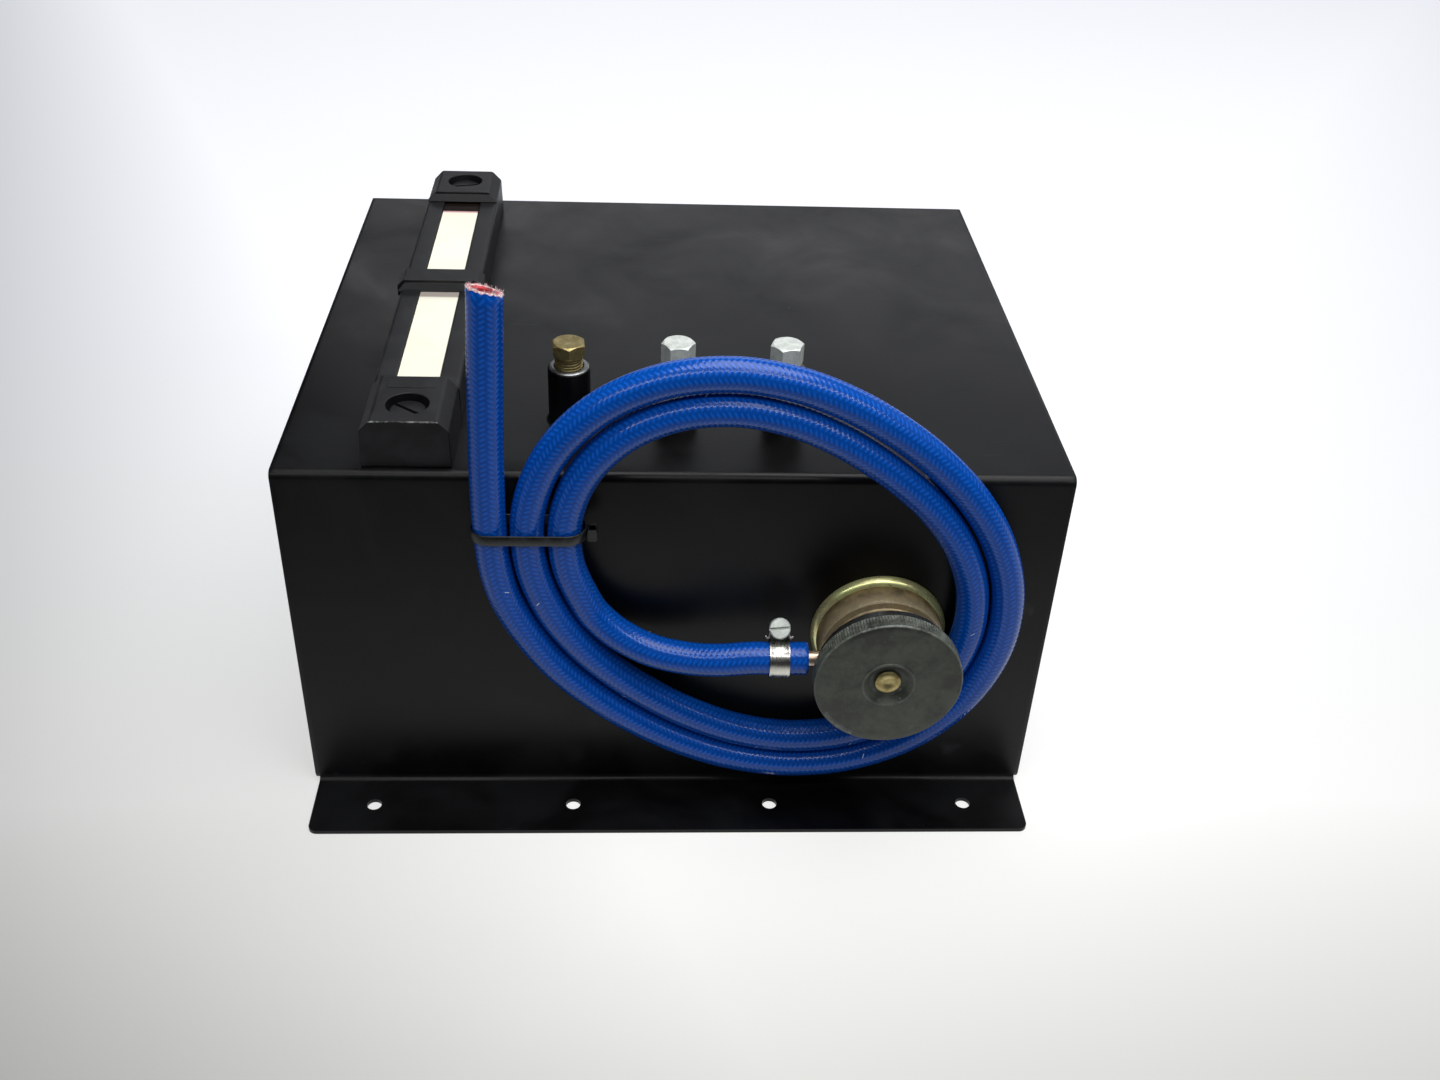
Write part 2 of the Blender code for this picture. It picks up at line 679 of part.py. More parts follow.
def build_gauge():
    """The level gauge: a channel with a window, two end caps, a clip and two hollow bolts."""
    bolts = {"front": GAUGE_FRONT_Y, "rear": GAUGE_REAR_Y}
    near = GAUGE_FRONT_Y + GAUGE_FRONT_CAP_ENDS[1] + GAP
    far = GAUGE_REAR_Y - GAUGE_REAR_CAP_ENDS[0] - GAP
    half = GAUGE_WIDTH / 2
    base = TOP + GAP

    body = box((GAUGE_X - half, near, base), (GAUGE_X + half, far, TOP + GAUGE_RAIL_HEIGHT))
    body = add_part("gauge_body", body, "black_moulding")
    tongue = GAUGE_TONGUE_WIDTH / 2
    tongue_ends = (GAUGE_FRONT_Y - GAUGE_TONGUE_REACH, GAUGE_REAR_Y + GAUGE_TONGUE_REACH)
    tongue_top = TOP + GAUGE_TONGUE_HEIGHT
    tongue_low = (GAUGE_X - tongue, tongue_ends[0], base)
    tongue_high = (GAUGE_X + tongue, tongue_ends[1], tongue_top)
    combine(body, box(tongue_low, tongue_high), "UNION")
    window = GAUGE_WINDOW_WIDTH / 2
    pocket_low = (GAUGE_X - window, near + GAP, TOP + GAUGE_FLOOR)
    pocket_high = (GAUGE_X + window, far - GAP, TOP + 2 * GAUGE_RAIL_HEIGHT)
    cutters = [box(pocket_low, pocket_high)]
    for bolt_y in bolts.values():
        place = Matrix.Translation((GAUGE_X, bolt_y, TOP))
        seat = SEAL_HEIGHT + 2 * GAP
        bolt_hole = [(SEAL_RADIUS + GAP, -SHEET), (SEAL_RADIUS + GAP, seat)]
        bolt_hole += [(GAUGE_BOLT_RADIUS + GAP, seat), (GAUGE_BOLT_RADIUS + GAP, 2 * GAUGE_TONGUE_HEIGHT)]
        cutters.append(placed(spindle(bolt_hole), place))
    along_y = Matrix.Rotation(-math.pi / 2, 4, "X")
    channel = placed(cylinder(GAUGE_CHANNEL_RADIUS, GAUGE_FRONT_Y, GAUGE_REAR_Y, sides=HOLE_STEPS), along_y)
    cutters.append(placed(channel, Matrix.Translation((GAUGE_X, 0.0, TOP + GAUGE_CHANNEL_HEIGHT))))
    for cutter in cutters:
        combine(body, cutter, "DIFFERENCE")

    cap_ends = {"front": GAUGE_FRONT_CAP_ENDS, "rear": GAUGE_REAR_CAP_ENDS}
    room = tongue + GAP
    for end, bolt_y in bolts.items():
        before, after = cap_ends[end]
        shape = extruded(gauge_cap_section(), "Y", bolt_y - before, bolt_y + after)
        cap = add_part(f"gauge_{end}_cap", shape, "black_moulding")
        inward = after if end == "front" else before
        outward = GAUGE_TONGUE_REACH + GAP
        span = (-outward, 2 * inward) if end == "front" else (-2 * inward, outward)
        low = (GAUGE_X - room, bolt_y + span[0], TOP - SHEET)
        high = (GAUGE_X + room, bolt_y + span[1], tongue_top + GAP)
        combine(cap, box(low, high), "DIFFERENCE")
        recess = cylinder(GAUGE_RECESS_RADIUS, TOP, TOP + 2 * GAUGE_CAP_HEIGHT)
        combine(cap, placed(recess, Matrix.Translation((GAUGE_X, bolt_y, 0.0))), "DIFFERENCE")

    strip = window - GAP
    strip_base = TOP + GAUGE_FLOOR + GAP
    strip_top = strip_base + REFLECTOR_THICKNESS
    ends = (near + 2 * GAP, far - 2 * GAP)
    strip_box = box((GAUGE_X - strip, ends[0], strip_base), (GAUGE_X + strip, ends[1], strip_top))
    add_part("gauge_reflector", strip_box, "cream_card")
    inside = strip - LENS_SIDE
    lens_base = strip_top + GAP
    lens_top = TOP + LENS_TOP
    ceiling = lens_top - LENS_THICKNESS
    lens = [(-strip, lens_base), (-inside, lens_base), (-inside, ceiling), (inside, ceiling)]
    lens += [(inside, lens_base), (strip, lens_base), (strip, lens_top), (-strip, lens_top)]
    lens = [(GAUGE_X + across, height) for across, height in lens]
    add_part("gauge_lens", extruded(lens, "Y", ends[0], ends[1]), "clear_lens")

    rail_top = TOP + GAUGE_RAIL_HEIGHT + GAP
    clip_top = rail_top + CLIP_HEIGHT
    shoulder = clip_top - CLIP_CHAMFER
    leg = half + GAP
    outer = leg + CLIP_WALL
    leg_end = rail_top - CLIP_LEG
    clip = [(leg, rail_top), (leg, leg_end), (outer, leg_end)]
    clip += [(outer, shoulder), (outer - CLIP_CHAMFER, clip_top)]
    clip += [(-across, height) for across, height in reversed(clip)]
    clip = [(GAUGE_X + across, height) for across, height in clip]
    clip_y = GAUGE_FRONT_Y + CLIP_FROM_FRONT_BOLT
    clip_shape = extruded(clip, "Y", clip_y - CLIP_LENGTH / 2, clip_y + CLIP_LENGTH / 2)
    add_part("gauge_clip", clip_shape, "black_moulding")

    for end, bolt_y in bolts.items():
        build_gauge_bolt(end, bolt_y)


def driver_slot(reach, head_top, turn):
    """The cutter of a screwdriver slot across a head."""
    half = SLOT_WIDTH / 2
    slot = box((-reach, -half, head_top - SLOT_DEPTH), (reach, half, head_top + SLOT_DEPTH))
    return placed(slot, Matrix.Rotation(math.radians(turn), 4, "Z"))


def build_gauge_bolt(end, bolt_y):
    """A slotted hollow bolt with its seal above the sheet and its nut below."""
    frame = add_empty(f"gauge_{end}_bolt_frame", (GAUGE_X, bolt_y, TOP))
    nut_top = -SHEET - GAP
    foot = nut_top - NUT_HEIGHT - GAUGE_BOLT_END
    head = GAUGE_TONGUE_HEIGHT + GAP
    head_top = head + GAUGE_HEAD_HEIGHT
    section = [(GAUGE_BOLT_RADIUS, foot), (GAUGE_BOLT_RADIUS, head)]
    section += [(GAUGE_HEAD_RADIUS, head), (GAUGE_HEAD_RADIUS, head_top)]
    bolt = add_part(f"gauge_{end}_bolt", spindle(section), "black_moulding", frame)
    bore_top = GAUGE_CHANNEL_HEIGHT + GAUGE_CHANNEL_RADIUS / 2
    combine(bolt, cylinder(GAUGE_BOLT_BORE, 2 * foot, bore_top, sides=HOLE_STEPS), "DIFFERENCE")
    reach = 2 * GAUGE_BOLT_RADIUS
    cross = cylinder(GAUGE_CHANNEL_RADIUS, -reach, reach, sides=HOLE_STEPS)
    along_y = Matrix.Rotation(math.pi / 2, 4, "X")
    cross_place = Matrix.Translation((0.0, 0.0, GAUGE_CHANNEL_HEIGHT)) @ along_y
    combine(bolt, placed(cross, cross_place), "DIFFERENCE")
    combine(bolt, driver_slot(reach, head_top, GAUGE_SLOT_TURNS[end]), "DIFFERENCE")

    hole = GAUGE_BOLT_RADIUS + GAP
    add_part(f"gauge_{end}_seal", disc(SEAL_RADIUS, GAP, GAP + SEAL_HEIGHT, hole), "rubber", frame)
    nut = hexagon(NUT_ACROSS, nut_top - NUT_HEIGHT, nut_top, 0.0)
    nut = add_part(f"gauge_{end}_nut", nut, "zinc", frame)
    combine(nut, cylinder(hole, 2 * foot, SHEET), "DIFFERENCE")


def filler_matrix():
    """From the filler's own frame, Z outward and Y up, to the world."""
    return Matrix.Translation((NECK_X, FRONT, NECK_Z)) @ Matrix.Rotation(math.pi / 2, 4, "X")


def stepped_angles(middle, half_angle):
    """Even steps round, with a close pair at each side of two opposite features."""
    edges = []
    for feature in (middle, middle + 180.0):
        for side in (-1, 1):
            edge = feature + side * half_angle
            edges += [(edge - EDGE_ANGLE) % 360.0, (edge + EDGE_ANGLE) % 360.0]
    spaced = []
    for angle in even_angles(ROUND_STEPS):
        if all(abs(angle - edge) > 4 * EDGE_ANGLE for edge in edges):
            spaced.append(angle)
    return sorted(spaced + edges)


def neck_section(angle):
    """The neck's section; the rim's underside ramps up to a notch on each side."""
    along = (angle + EAR_HALF_ANGLE) % 180.0 - EAR_HALF_ANGLE
    in_notch = abs(along - CAP_SWEEP) < NOTCH_HALF_ANGLE
    rim = NOTCH_RADIUS if in_notch else CAM_RADIUS
    ramp_end = CAP_SWEEP - NOTCH_HALF_ANGLE
    climbed = min(max(along + EAR_HALF_ANGLE, 0.0), ramp_end + EAR_HALF_ANGLE)
    if along > CAP_SWEEP + NOTCH_HALF_ANGLE:
        climbed = 0.0
    underside = CAM_UNDERSIDE + CAM_RISE * climbed / CAP_SWEEP
    collar_base = FLANGE_RING_HEIGHT + GAP
    section = [(NECK_BORE, -NECK_INSIDE), (NECK_RADIUS, -NECK_INSIDE), (NECK_RADIUS, collar_base)]
    section += [(COLLAR_RADIUS, collar_base), (COLLAR_RADIUS, COLLAR_TOP - COLLAR_ROUND)]
    section += [(COLLAR_RADIUS - COLLAR_ROUND, COLLAR_TOP), (NECK_RADIUS, COLLAR_TOP)]
    section += [(NECK_RADIUS, underside), (rim, underside), (rim, NECK_TOP), (NECK_BORE, NECK_TOP)]
    section += [(NECK_BORE, SEAT_HEIGHT), (SEAT_BORE, SEAT_HEIGHT)]
    section += [(SEAT_BORE, SEAT_HEIGHT - SEAT_THICKNESS), (NECK_BORE, SEAT_HEIGHT - SEAT_THICKNESS)]
    return section


def build_filler():
    """The ring, the neck with its cams, and the overflow spigot."""
    filler = add_empty("filler_frame", (NECK_X, FRONT, NECK_Z), math.pi / 2)
    bore = NECK_RADIUS + GAP
    round_centre = (FLANGE_RING_RADIUS - FLANGE_RING_ROUND, FLANGE_RING_HEIGHT - FLANGE_RING_ROUND)
    section = [(bore, GAP), (FLANGE_RING_RADIUS, GAP), *arc(round_centre, FLANGE_RING_ROUND, 0, 90)]
    section.append((bore, FLANGE_RING_HEIGHT))
    add_part("filler_flange", turned(section, even_angles(ROUND_STEPS)), "yellow_passivate", filler)

    neck = turned(neck_section, stepped_angles(CAP_SWEEP, NOTCH_HALF_ANGLE))
    neck = add_part("filler_neck", neck, "yellow_passivate", filler)
    to_left = Matrix.Translation((0.0, 0.0, SPIGOT_HEIGHT)) @ Matrix.Rotation(-math.pi / 2, 4, "Y")
    hole = cylinder(SPIGOT_RADIUS + GAP, NECK_BORE / 2, 2 * NECK_RADIUS)
    combine(neck, placed(hole, to_left), "DIFFERENCE")

    tip = NECK_X - HOSE_END_X + SPIGOT_IN_HOSE
    inner_end = NECK_BORE + GAP
    spigot = disc(SPIGOT_RADIUS, inner_end, tip, SPIGOT_BORE)
    add_part("overflow_spigot", placed(spigot, to_left), "copper", filler)
    return filler


def cup_section(angle):
    """The bayonet cup's section, with an ear turned in on each side."""
    along = (angle + 90.0) % 180.0 - 90.0
    reach = EAR_REACH if abs(along) < EAR_HALF_ANGLE else EAR_STUB
    inside = CUP_RADIUS - CUP_WALL
    ear_top = CAM_UNDERSIDE - GAP
    ear_base = ear_top - EAR_THICKNESS
    front = CUP_PLATE_BACK + CUP_WALL
    section = [(RIVET_HOLE, CUP_PLATE_BACK), (inside, CUP_PLATE_BACK), (inside, ear_top)]
    section += [(inside - reach, ear_top), (inside - reach, ear_base), (CUP_RADIUS, ear_base)]
    section += [(CUP_RADIUS, front), (RIVET_HOLE, front)]
    return section


def build_cap(filler):
    """The turning cover and cup, and the stem that they turn on with its seal and cage."""
    cup = turned(cup_section, stepped_angles(0.0, EAR_HALF_ANGLE))
    add_part("cap_bayonet_cup", cup, "bare_steel", filler)
    rim_inside = CUP_RADIUS + RUNNING_GAP
    floor = COVER_FACE - RECESS_DEPTH
    cover = [(RIVET_HOLE, COVER_BACK), (rim_inside, COVER_BACK), (rim_inside, COVER_RIM_BACK)]
    cover += [(COVER_RADIUS, COVER_RIM_BACK), (COVER_RADIUS, COVER_FACE - COVER_ROUND)]
    cover += [(COVER_RADIUS - COVER_ROUND, COVER_FACE), (RECESS_RADIUS, COVER_FACE)]
    cover += [(RECESS_FLOOR_RADIUS, floor), (RIVET_HOLE, floor)]
    add_part("cap_cover", turned(cover, even_angles(ROUND_STEPS)), "cap_moulding", filler)

    cage_under = CAGE_TOP - CAGE_PLATE
    foot_top = cage_under - GAP
    head = floor + GAP
    rivet = [(RIVET_FOOT_RADIUS, foot_top - RIVET_FOOT_HEIGHT), (RIVET_FOOT_RADIUS, foot_top)]
    rivet += [(RIVET_RADIUS, foot_top), (RIVET_RADIUS, head), (RIVET_HEAD_RADIUS, head)]
    rivet.append((RIVET_HEAD_RADIUS - RIVET_HEAD_HEIGHT / 2, head + RIVET_HEAD_HEIGHT))
    add_part("cap_rivet", spindle(rivet), "brass", filler)
    seal_back = NECK_TOP + GAP
    top_seal = disc(TOP_SEAL_RADIUS, seal_back, seal_back + TOP_SEAL_THICKNESS, RIVET_HOLE)
    add_part("cap_top_seal", top_seal, "rubber", filler)

    inside = CAGE_RADIUS - CAGE_WALL
    lip_inside = inside - CAGE_LIP
    lip_top = PRESSURE_PLATE_BACK - GAP
    lip_base = lip_top - CAGE_LIP_HEIGHT
    cage = [(RIVET_HOLE, cage_under), (inside, cage_under), (inside, lip_top), (lip_inside, lip_top)]
    cage += [(lip_inside, lip_base), (CAGE_RADIUS, lip_base), (CAGE_RADIUS, CAGE_TOP), (RIVET_HOLE, CAGE_TOP)]
    add_part("valve_cage", turned(cage), "spring_steel", filler)


def spring_points(radius, low, high, turns):
    """A helix about Z from one height to another."""
    count = turns * CURL_POINTS
    points = []
    for step in range(count + 1):
        angle = 2 * math.pi * step / CURL_POINTS
        height = low + (high - low) * step / count
        points.append(Vector((radius * math.cos(angle), radius * math.sin(angle), height)))
    return points


def build_valves(filler):
    """The spring-loaded pressure plate, and the vent valve in the middle of it."""
    stem_hole = VACUUM_STEM_RADIUS + RUNNING_GAP
    plate = disc(PRESSURE_PLATE_RADIUS, PRESSURE_PLATE_BACK, PRESSURE_PLATE_TOP, stem_hole)
    add_part("pressure_plate", plate, "brass", filler)
    seal_radius = CAGE_RADIUS - CAGE_WALL - CAGE_LIP - RUNNING_GAP
    seal_top = PRESSURE_SEAL_BACK + PRESSURE_SEAL_THICKNESS
    seal = disc(seal_radius, PRESSURE_SEAL_BACK, seal_top, PRESSURE_SEAL_BORE)
    add_part("pressure_seal", seal, "rubber", filler)
    wire = PRESSURE_SPRING_WIRE
    low = PRESSURE_PLATE_TOP + GAP + wire
    high = SPRING_TOP - wire
    helix = spring_points(PRESSURE_SPRING_RADIUS, low, high, PRESSURE_SPRING_TURNS)
    add_part("pressure_spring", tube_mesh("pressure_spring", helix, wire, 1), "spring_steel", filler)

    disc_top = PRESSURE_PLATE_BACK - GAP
    stem_top = disc_top + VACUUM_STEM_HEIGHT
    clip_base = stem_top - VACUUM_CLIP_HEIGHT
    valve = [(VACUUM_DISC_RADIUS, disc_top - VACUUM_DISC_HEIGHT), (VACUUM_DISC_RADIUS, disc_top)]
    valve += [(VACUUM_STEM_RADIUS, disc_top), (VACUUM_STEM_RADIUS, clip_base)]
    valve += [(VACUUM_CLIP_RADIUS, clip_base), (VACUUM_CLIP_RADIUS, stem_top)]
    add_part("vacuum_valve", spindle(valve), "brass", filler)
    wire = VACUUM_SPRING_WIRE
    low = PRESSURE_PLATE_TOP + GAP + wire
    high = clip_base - GAP - wire
    radius = VACUUM_STEM_RADIUS + RUNNING_GAP + wire
    helix = spring_points(radius, low, high, VACUUM_SPRING_TURNS)
    add_part("vacuum_spring", tube_mesh("vacuum_spring", helix, wire, 1), "spring_steel", filler)


def hose_place(across, outward, height):
    return Vector((across, FRONT - outward, height))


def coil_points():
    """The flat oval spiral that the hose is tied into, wound clockwise and outward."""
    points = []
    count = COIL_TURNS * LOOP_POINTS
    for step in range(count + 1):
        turn = step / LOOP_POINTS
        angle = math.radians(COIL_START_ANGLE - 360.0 * turn)
        oval = COIL_OVAL * math.cos(2 * (angle - math.radians(COIL_OVAL_ANGLE)))
        radius = COIL_RADIUS + COIL_GROWTH * turn + oval
        across = COIL_CENTRE_X + radius * math.cos(angle)
        height = COIL_CENTRE_Z + radius * math.sin(angle)
        points.append(hose_place(across, COIL_STANDOFF, height))
    return points


def trimmed(points, start, end):
    """Points whose first and last are drawn in by half a gap where another stretch follows."""
    points = [point.copy() for point in points]
    if start:
        points[0] += (points[1] - points[0]).normalized() * GAP / 2
    if end:
        points[-1] += (points[-2] - points[-1]).normalized() * GAP / 2
    return points


def print_least_gap(points):
    """The hose's least gap to itself, between points more than four diameters apart along it."""
    dense = smooth_curve(points, 8)
    along = [0.0]
    for before, after in zip(dense, dense[1:]):
        along.append(along[-1] + (after - before).length)
    least = min(
        (dense[one] - dense[two]).length
        for one in range(len(dense))
        for two in range(one)
        if along[one] - along[two] > 8 * HOSE_RADIUS
    )
    gap = least - 2 * HOSE_RADIUS
    print(f"hose: {along[-1] * 1000:.0f} mm long, least gap to itself {gap * 1000:.2f} mm")


def strand_x(points, height):
    """Where a stretch of hose first rises past a height."""
    for before, after in zip(points, points[1:]):
        if before.z <= height < after.z:
            return before.lerp(after, (height - before.z) / (after.z - before.z)).x
    raise ValueError("the hose doesn't reach the tie")


def build_hose():
    """One hose in three stretches: off the spigot, round the coil, and up to its cut end."""
    straight = [hose_place(across, SPIGOT_HEIGHT, NECK_Z) for across in LEAD_STRAIGHT]
    lead = straight + [hose_place(*point) for point in LEAD_ROUTE]
    coil = coil_points()
    tail = [hose_place(*point) for point in TAIL_ROUTE]
    print_least_gap(lead + coil + tail)
    into_coil = (coil[1] - coil[0]).normalized() * SEAM_STRAIGHT
    out_of_coil = (coil[-1] - coil[-2]).normalized() * SEAM_STRAIGHT
    lead_points = smooth_curve(lead, LEAD_POINTS_PER_SPAN) + [coil[0] - into_coil, coil[0]]
    tail_points = [coil[-1], coil[-1] + out_of_coil] + smooth_curve(tail, TAIL_POINTS_PER_SPAN)
    stretches = (
        ("overflow_hose_lead", trimmed(lead_points, False, True), FREE_RESOLUTION),
        ("overflow_hose_coil", trimmed(coil, True, True), LOOP_RESOLUTION),
        ("overflow_hose_tail", trimmed(tail_points, True, False), FREE_RESOLUTION),
    )
    for name, points, resolution in stretches:
        add_hollow_tube(name, points, HOSE_RADIUS, HOSE_BORE, resolution, "blue_silicone")
    return strand_x(tail_points, TIE_Z), strand_x(coil, TIE_Z)


def build_clamp():
    """The worm drive clamp round the hose, its screw turned towards the upper front."""
    centre = hose_place(CLAMP_X, SPIGOT_HEIGHT, NECK_Z)
    frame = add_empty("clamp_frame", centre, -math.radians(CLAMP_TILT))
    inside = HOSE_RADIUS + GAP
    outside = inside + BAND_THICKNESS
    along_x = Matrix.Rotation(math.pi / 2, 4, "Y")
    band = disc(outside, -BAND_WIDTH / 2, BAND_WIDTH / 2, inside)
    add_part("clamp_band", placed(band, along_x), "stainless", frame)

    bore = CLAMP_SCREW_RADIUS + RUNNING_GAP
    shell = bore + CLAMP_HOUSING_WALL
    saddle = outside + GAP
    screw_height = saddle + CLAMP_HOUSING_WALL + bore
    outline = [(-shell, saddle), (shell, saddle), *arc((0.0, screw_height), shell, 0, 180, steps=10)]
    half = CLAMP_HOUSING_LENGTH / 2
    housing = add_part("clamp_housing", extruded(outline, "Y", -half, half), "stainless", frame)
    along_y = Matrix.Translation((0.0, 0.0, screw_height)) @ Matrix.Rotation(math.pi / 2, 4, "X")
    combine(housing, placed(cylinder(bore, -2 * half, 2 * half), along_y), "DIFFERENCE")

    screw_frame = add_empty("clamp_screw_frame", (0.0, 0.0, screw_height), math.pi / 2, frame)
    head = half + GAP
    head_top = head + CLAMP_HEAD_HEIGHT
    section = [(CLAMP_SCREW_RADIUS, head - CLAMP_SCREW_LENGTH), (CLAMP_SCREW_RADIUS, head)]
    section += [(CLAMP_HEAD_RADIUS, head), (CLAMP_HEAD_RADIUS, head_top)]
    screw = add_part("clamp_screw", spindle(section), "stainless", screw_frame)
    reach = 2 * CLAMP_HEAD_RADIUS
    combine(screw, driver_slot(reach, head_top, CLAMP_SLOT_TURN), "DIFFERENCE")


def build_tie(left, right):
    """The tie's strap round the outer strands, with its head on the inner side of the coil."""
    strand_y = FRONT - COIL_STANDOFF
    inside = HOSE_RADIUS + TIE_CLEARANCE
    outside = inside + TIE_THICKNESS

    def stadium(radius):
        right_end = arc((right, strand_y), radius, -90, 90, steps=HOLE_STEPS // 2)
        left_end = arc((left, strand_y), radius, 90, 270, steps=HOLE_STEPS // 2)
        return right_end + left_end

    low = TIE_Z - TIE_WIDTH / 2
    tie = add_part("cable_tie", extruded(stadium(outside), "Z", low, low + TIE_WIDTH), "nylon")
    head_low = (right + inside + TIE_THICKNESS / 2, strand_y - TIE_HEAD_DEPTH, TIE_Z - TIE_HEAD_HEIGHT / 2)
    head_high = (right + outside + TIE_HEAD_WIDTH, strand_y, TIE_Z + TIE_HEAD_HEIGHT / 2)
    combine(tie, box(head_low, head_high), "UNION")
    combine(tie, extruded(stadium(inside), "Z", low - TIE_WIDTH, low + 2 * TIE_WIDTH), "DIFFERENCE")


def main():
    clear_scene()
    build_tank()
    build_ports()
    build_tubes()
    build_gauge()
    filler = build_filler()
    build_cap(filler)
    build_valves(filler)
    outer_strand, inner_strand = build_hose()
    build_clamp()
    build_tie(outer_strand, inner_strand)


main()
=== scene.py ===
"""The finished look of a hydraulic reservoir: its fine shapes, its surfaces, its hose and a studio.

It is laid out as an add-on: settings, one operator for each group of pieces, and a panel.
"""

import json
import math
import random

import bmesh
import bpy
from bpy.props import FloatProperty, FloatVectorProperty, IntProperty, PointerProperty
from mathutils import Matrix, Vector


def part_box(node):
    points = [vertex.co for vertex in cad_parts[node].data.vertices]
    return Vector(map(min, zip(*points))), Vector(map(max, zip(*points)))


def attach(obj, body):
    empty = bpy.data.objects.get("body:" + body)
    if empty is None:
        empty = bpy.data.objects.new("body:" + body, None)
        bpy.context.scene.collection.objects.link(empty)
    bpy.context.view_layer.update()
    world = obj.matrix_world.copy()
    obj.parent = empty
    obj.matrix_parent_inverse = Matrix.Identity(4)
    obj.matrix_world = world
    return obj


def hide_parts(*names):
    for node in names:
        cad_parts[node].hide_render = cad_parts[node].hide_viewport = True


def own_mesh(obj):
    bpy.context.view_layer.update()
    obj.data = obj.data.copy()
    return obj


bl_info = {
    "name": "Hydraulic Reservoir",
    "version": (1, 0, 0),
    "blender": (4, 5, 0),
    "location": "View3D > Sidebar > Reservoir",
    "description": "Makes the fine shapes, surfaces, hose and studio of a hydraulic reservoir",
    "category": "Object",
}

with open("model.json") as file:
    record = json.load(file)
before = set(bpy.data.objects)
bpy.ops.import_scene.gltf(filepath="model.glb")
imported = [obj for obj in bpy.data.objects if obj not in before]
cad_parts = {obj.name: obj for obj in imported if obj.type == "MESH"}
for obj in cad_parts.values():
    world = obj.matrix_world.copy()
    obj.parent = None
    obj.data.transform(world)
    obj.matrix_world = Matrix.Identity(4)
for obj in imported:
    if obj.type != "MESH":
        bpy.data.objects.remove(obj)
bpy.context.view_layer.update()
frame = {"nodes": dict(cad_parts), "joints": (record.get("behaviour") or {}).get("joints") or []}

STARTING_NODES = ("Principled BSDF", "Background")

# The camera, in metres and degrees
CAMERA_PLACE = (-0.01733, -0.69895, 0.52806)
CAMERA_TURN = -3.814
CAMERA_TILT = 34.865
CAMERA_ROLL = 2.588
SENSOR_WIDTH = 36.0

# Half the floor's width, and how far it lies below the tank
FLOOR_REACH = 6.0
FLOOR_DROP = 0.0002

# The hose: steps along it and round it, and the slope of its cut end across X and Y
HOSE_STEP = 0.0024
HOSE_SIDES = 40
HOSE_CUT = Vector((-0.20, -0.29, 0.0))
CUT_FIBRES = 190

# Holes in the flanges: how many along each, the first one's X, their spacing and their inset
FLANGE_HOLES = 4
FIRST_HOLE = -0.1437
HOLE_SPACING = 0.0958
HOLE_INSET = 0.0175

# How far a hole's cutter reaches past the sheet that it cuts, and room round a piece in its hole
CUTTER_REACH = 0.01
ROOM = 0.0003

# The filler: radius inside its ring, and the height of its overflow above the tank's front
FILLER_BORE = 0.0248
OVERFLOW_HEIGHT = 0.0210

# Springs: steps in one turn and sides of the wire
SPRING_STEPS = 32
SPRING_SIDES = 12


def linear(colour):
    """An sRGB hex colour as linear red, green, blue and alpha."""
    values = []
    for place in (1, 3, 5):
        value = int(colour[place : place + 2], 16) / 255
        values.append(value / 12.92 if value <= 0.04045 else ((value + 0.055) / 1.055) ** 2.4)
    return (*values, 1.0)


def colour(name, description, value):
    """A colour setting."""
    return FloatVectorProperty(
        name=name, description=description, default=linear(value), size=4, min=0.0, max=1.0, subtype="COLOR"
    )


def length(name, description, value):
    """A length setting, in metres."""
    return FloatProperty(
        name=name, description=description, default=value, min=0.0, precision=4, unit="LENGTH"
    )


def power(name, description, value):
    """A lamp's power setting, in watts."""
    return FloatProperty(name=name, description=description, default=value, min=0.0, unit="POWER")


class TankSettings(bpy.types.PropertyGroup):
    """The folded tank, its ports and their paint."""

    top_bend: length("Top bend", "Outside radius of the bends along the top", 0.0040)
    foot_bend: length("Foot bend", "Inside radius of the bends above the flanges", 0.0030)
    flange_corner: length("Flange corner", "Radius of the flanges' corners", 0.0040)
    flange_hole: length("Flange hole", "Diameter of the bolt holes in the flanges", 0.0070)
    paint: colour("Paint", "Enamel of the tank and its bosses", "#050506")
    rubbed: colour("Rubbed steel", "Steel where the enamel is rubbed away", "#86888b")
    brass: colour("Brass", "Brass of the left plug and the cap's rivet", "#b6a878")
    zinc: colour("Zinc", "Zinc plate of the other plugs and the clamp's screw", "#e8ece6")


class GaugeSettings(bpy.types.PropertyGroup):
    """The level gauge."""

    edge: length("Edge", "Radius of the moulding's edges", 0.0013)
    recess: length("Recess", "Diameter of the deep holes over the bolts", 0.0186)
    moulding: colour("Moulding", "Nylon of the gauge's housing", "#101113")
    strip: colour("Strip", "Card behind the window", "#fbf8e6")


class FillerSettings(bpy.types.PropertyGroup):
    """The filler neck and its cap."""

    serrations: IntProperty(name="Serrations", description="Grooves round the cap's rim", default=150, min=24)
    serration_depth: length("Serration depth", "Depth of the grooves round the cap's rim", 0.00045)
    passivate: colour("Passivate", "Yellow passivated ring", "#e4eaa4")
    collar: colour("Collar", "Brown passivated collar of the neck", "#a08a5c")
    moulding: colour("Cap", "Moulded cover of the cap", "#171b13")
    copper: colour("Copper", "Overflow spigot", "#f4e6d6")


class HoseSettings(bpy.types.PropertyGroup):
    """The overflow hose, its clamp and its tie."""

    diameter: length("Diameter", "Outside diameter of the hose", 0.0150)
    bore: length("Bore", "Inside diameter of the hose", 0.0086)
    strands: IntProperty(name="Strands", description="Braid strands laid each way", default=14, min=4)
    lay: length("Lay", "Length in which a strand goes once round", 0.0340)
    silicone: colour("Silicone", "Outside of the hose", "#0856c0")
    liner: colour("Liner", "Inside of the hose", "#e2474f")
    steel: colour("Stainless", "Strip of the clamp", "#cfcdc6")


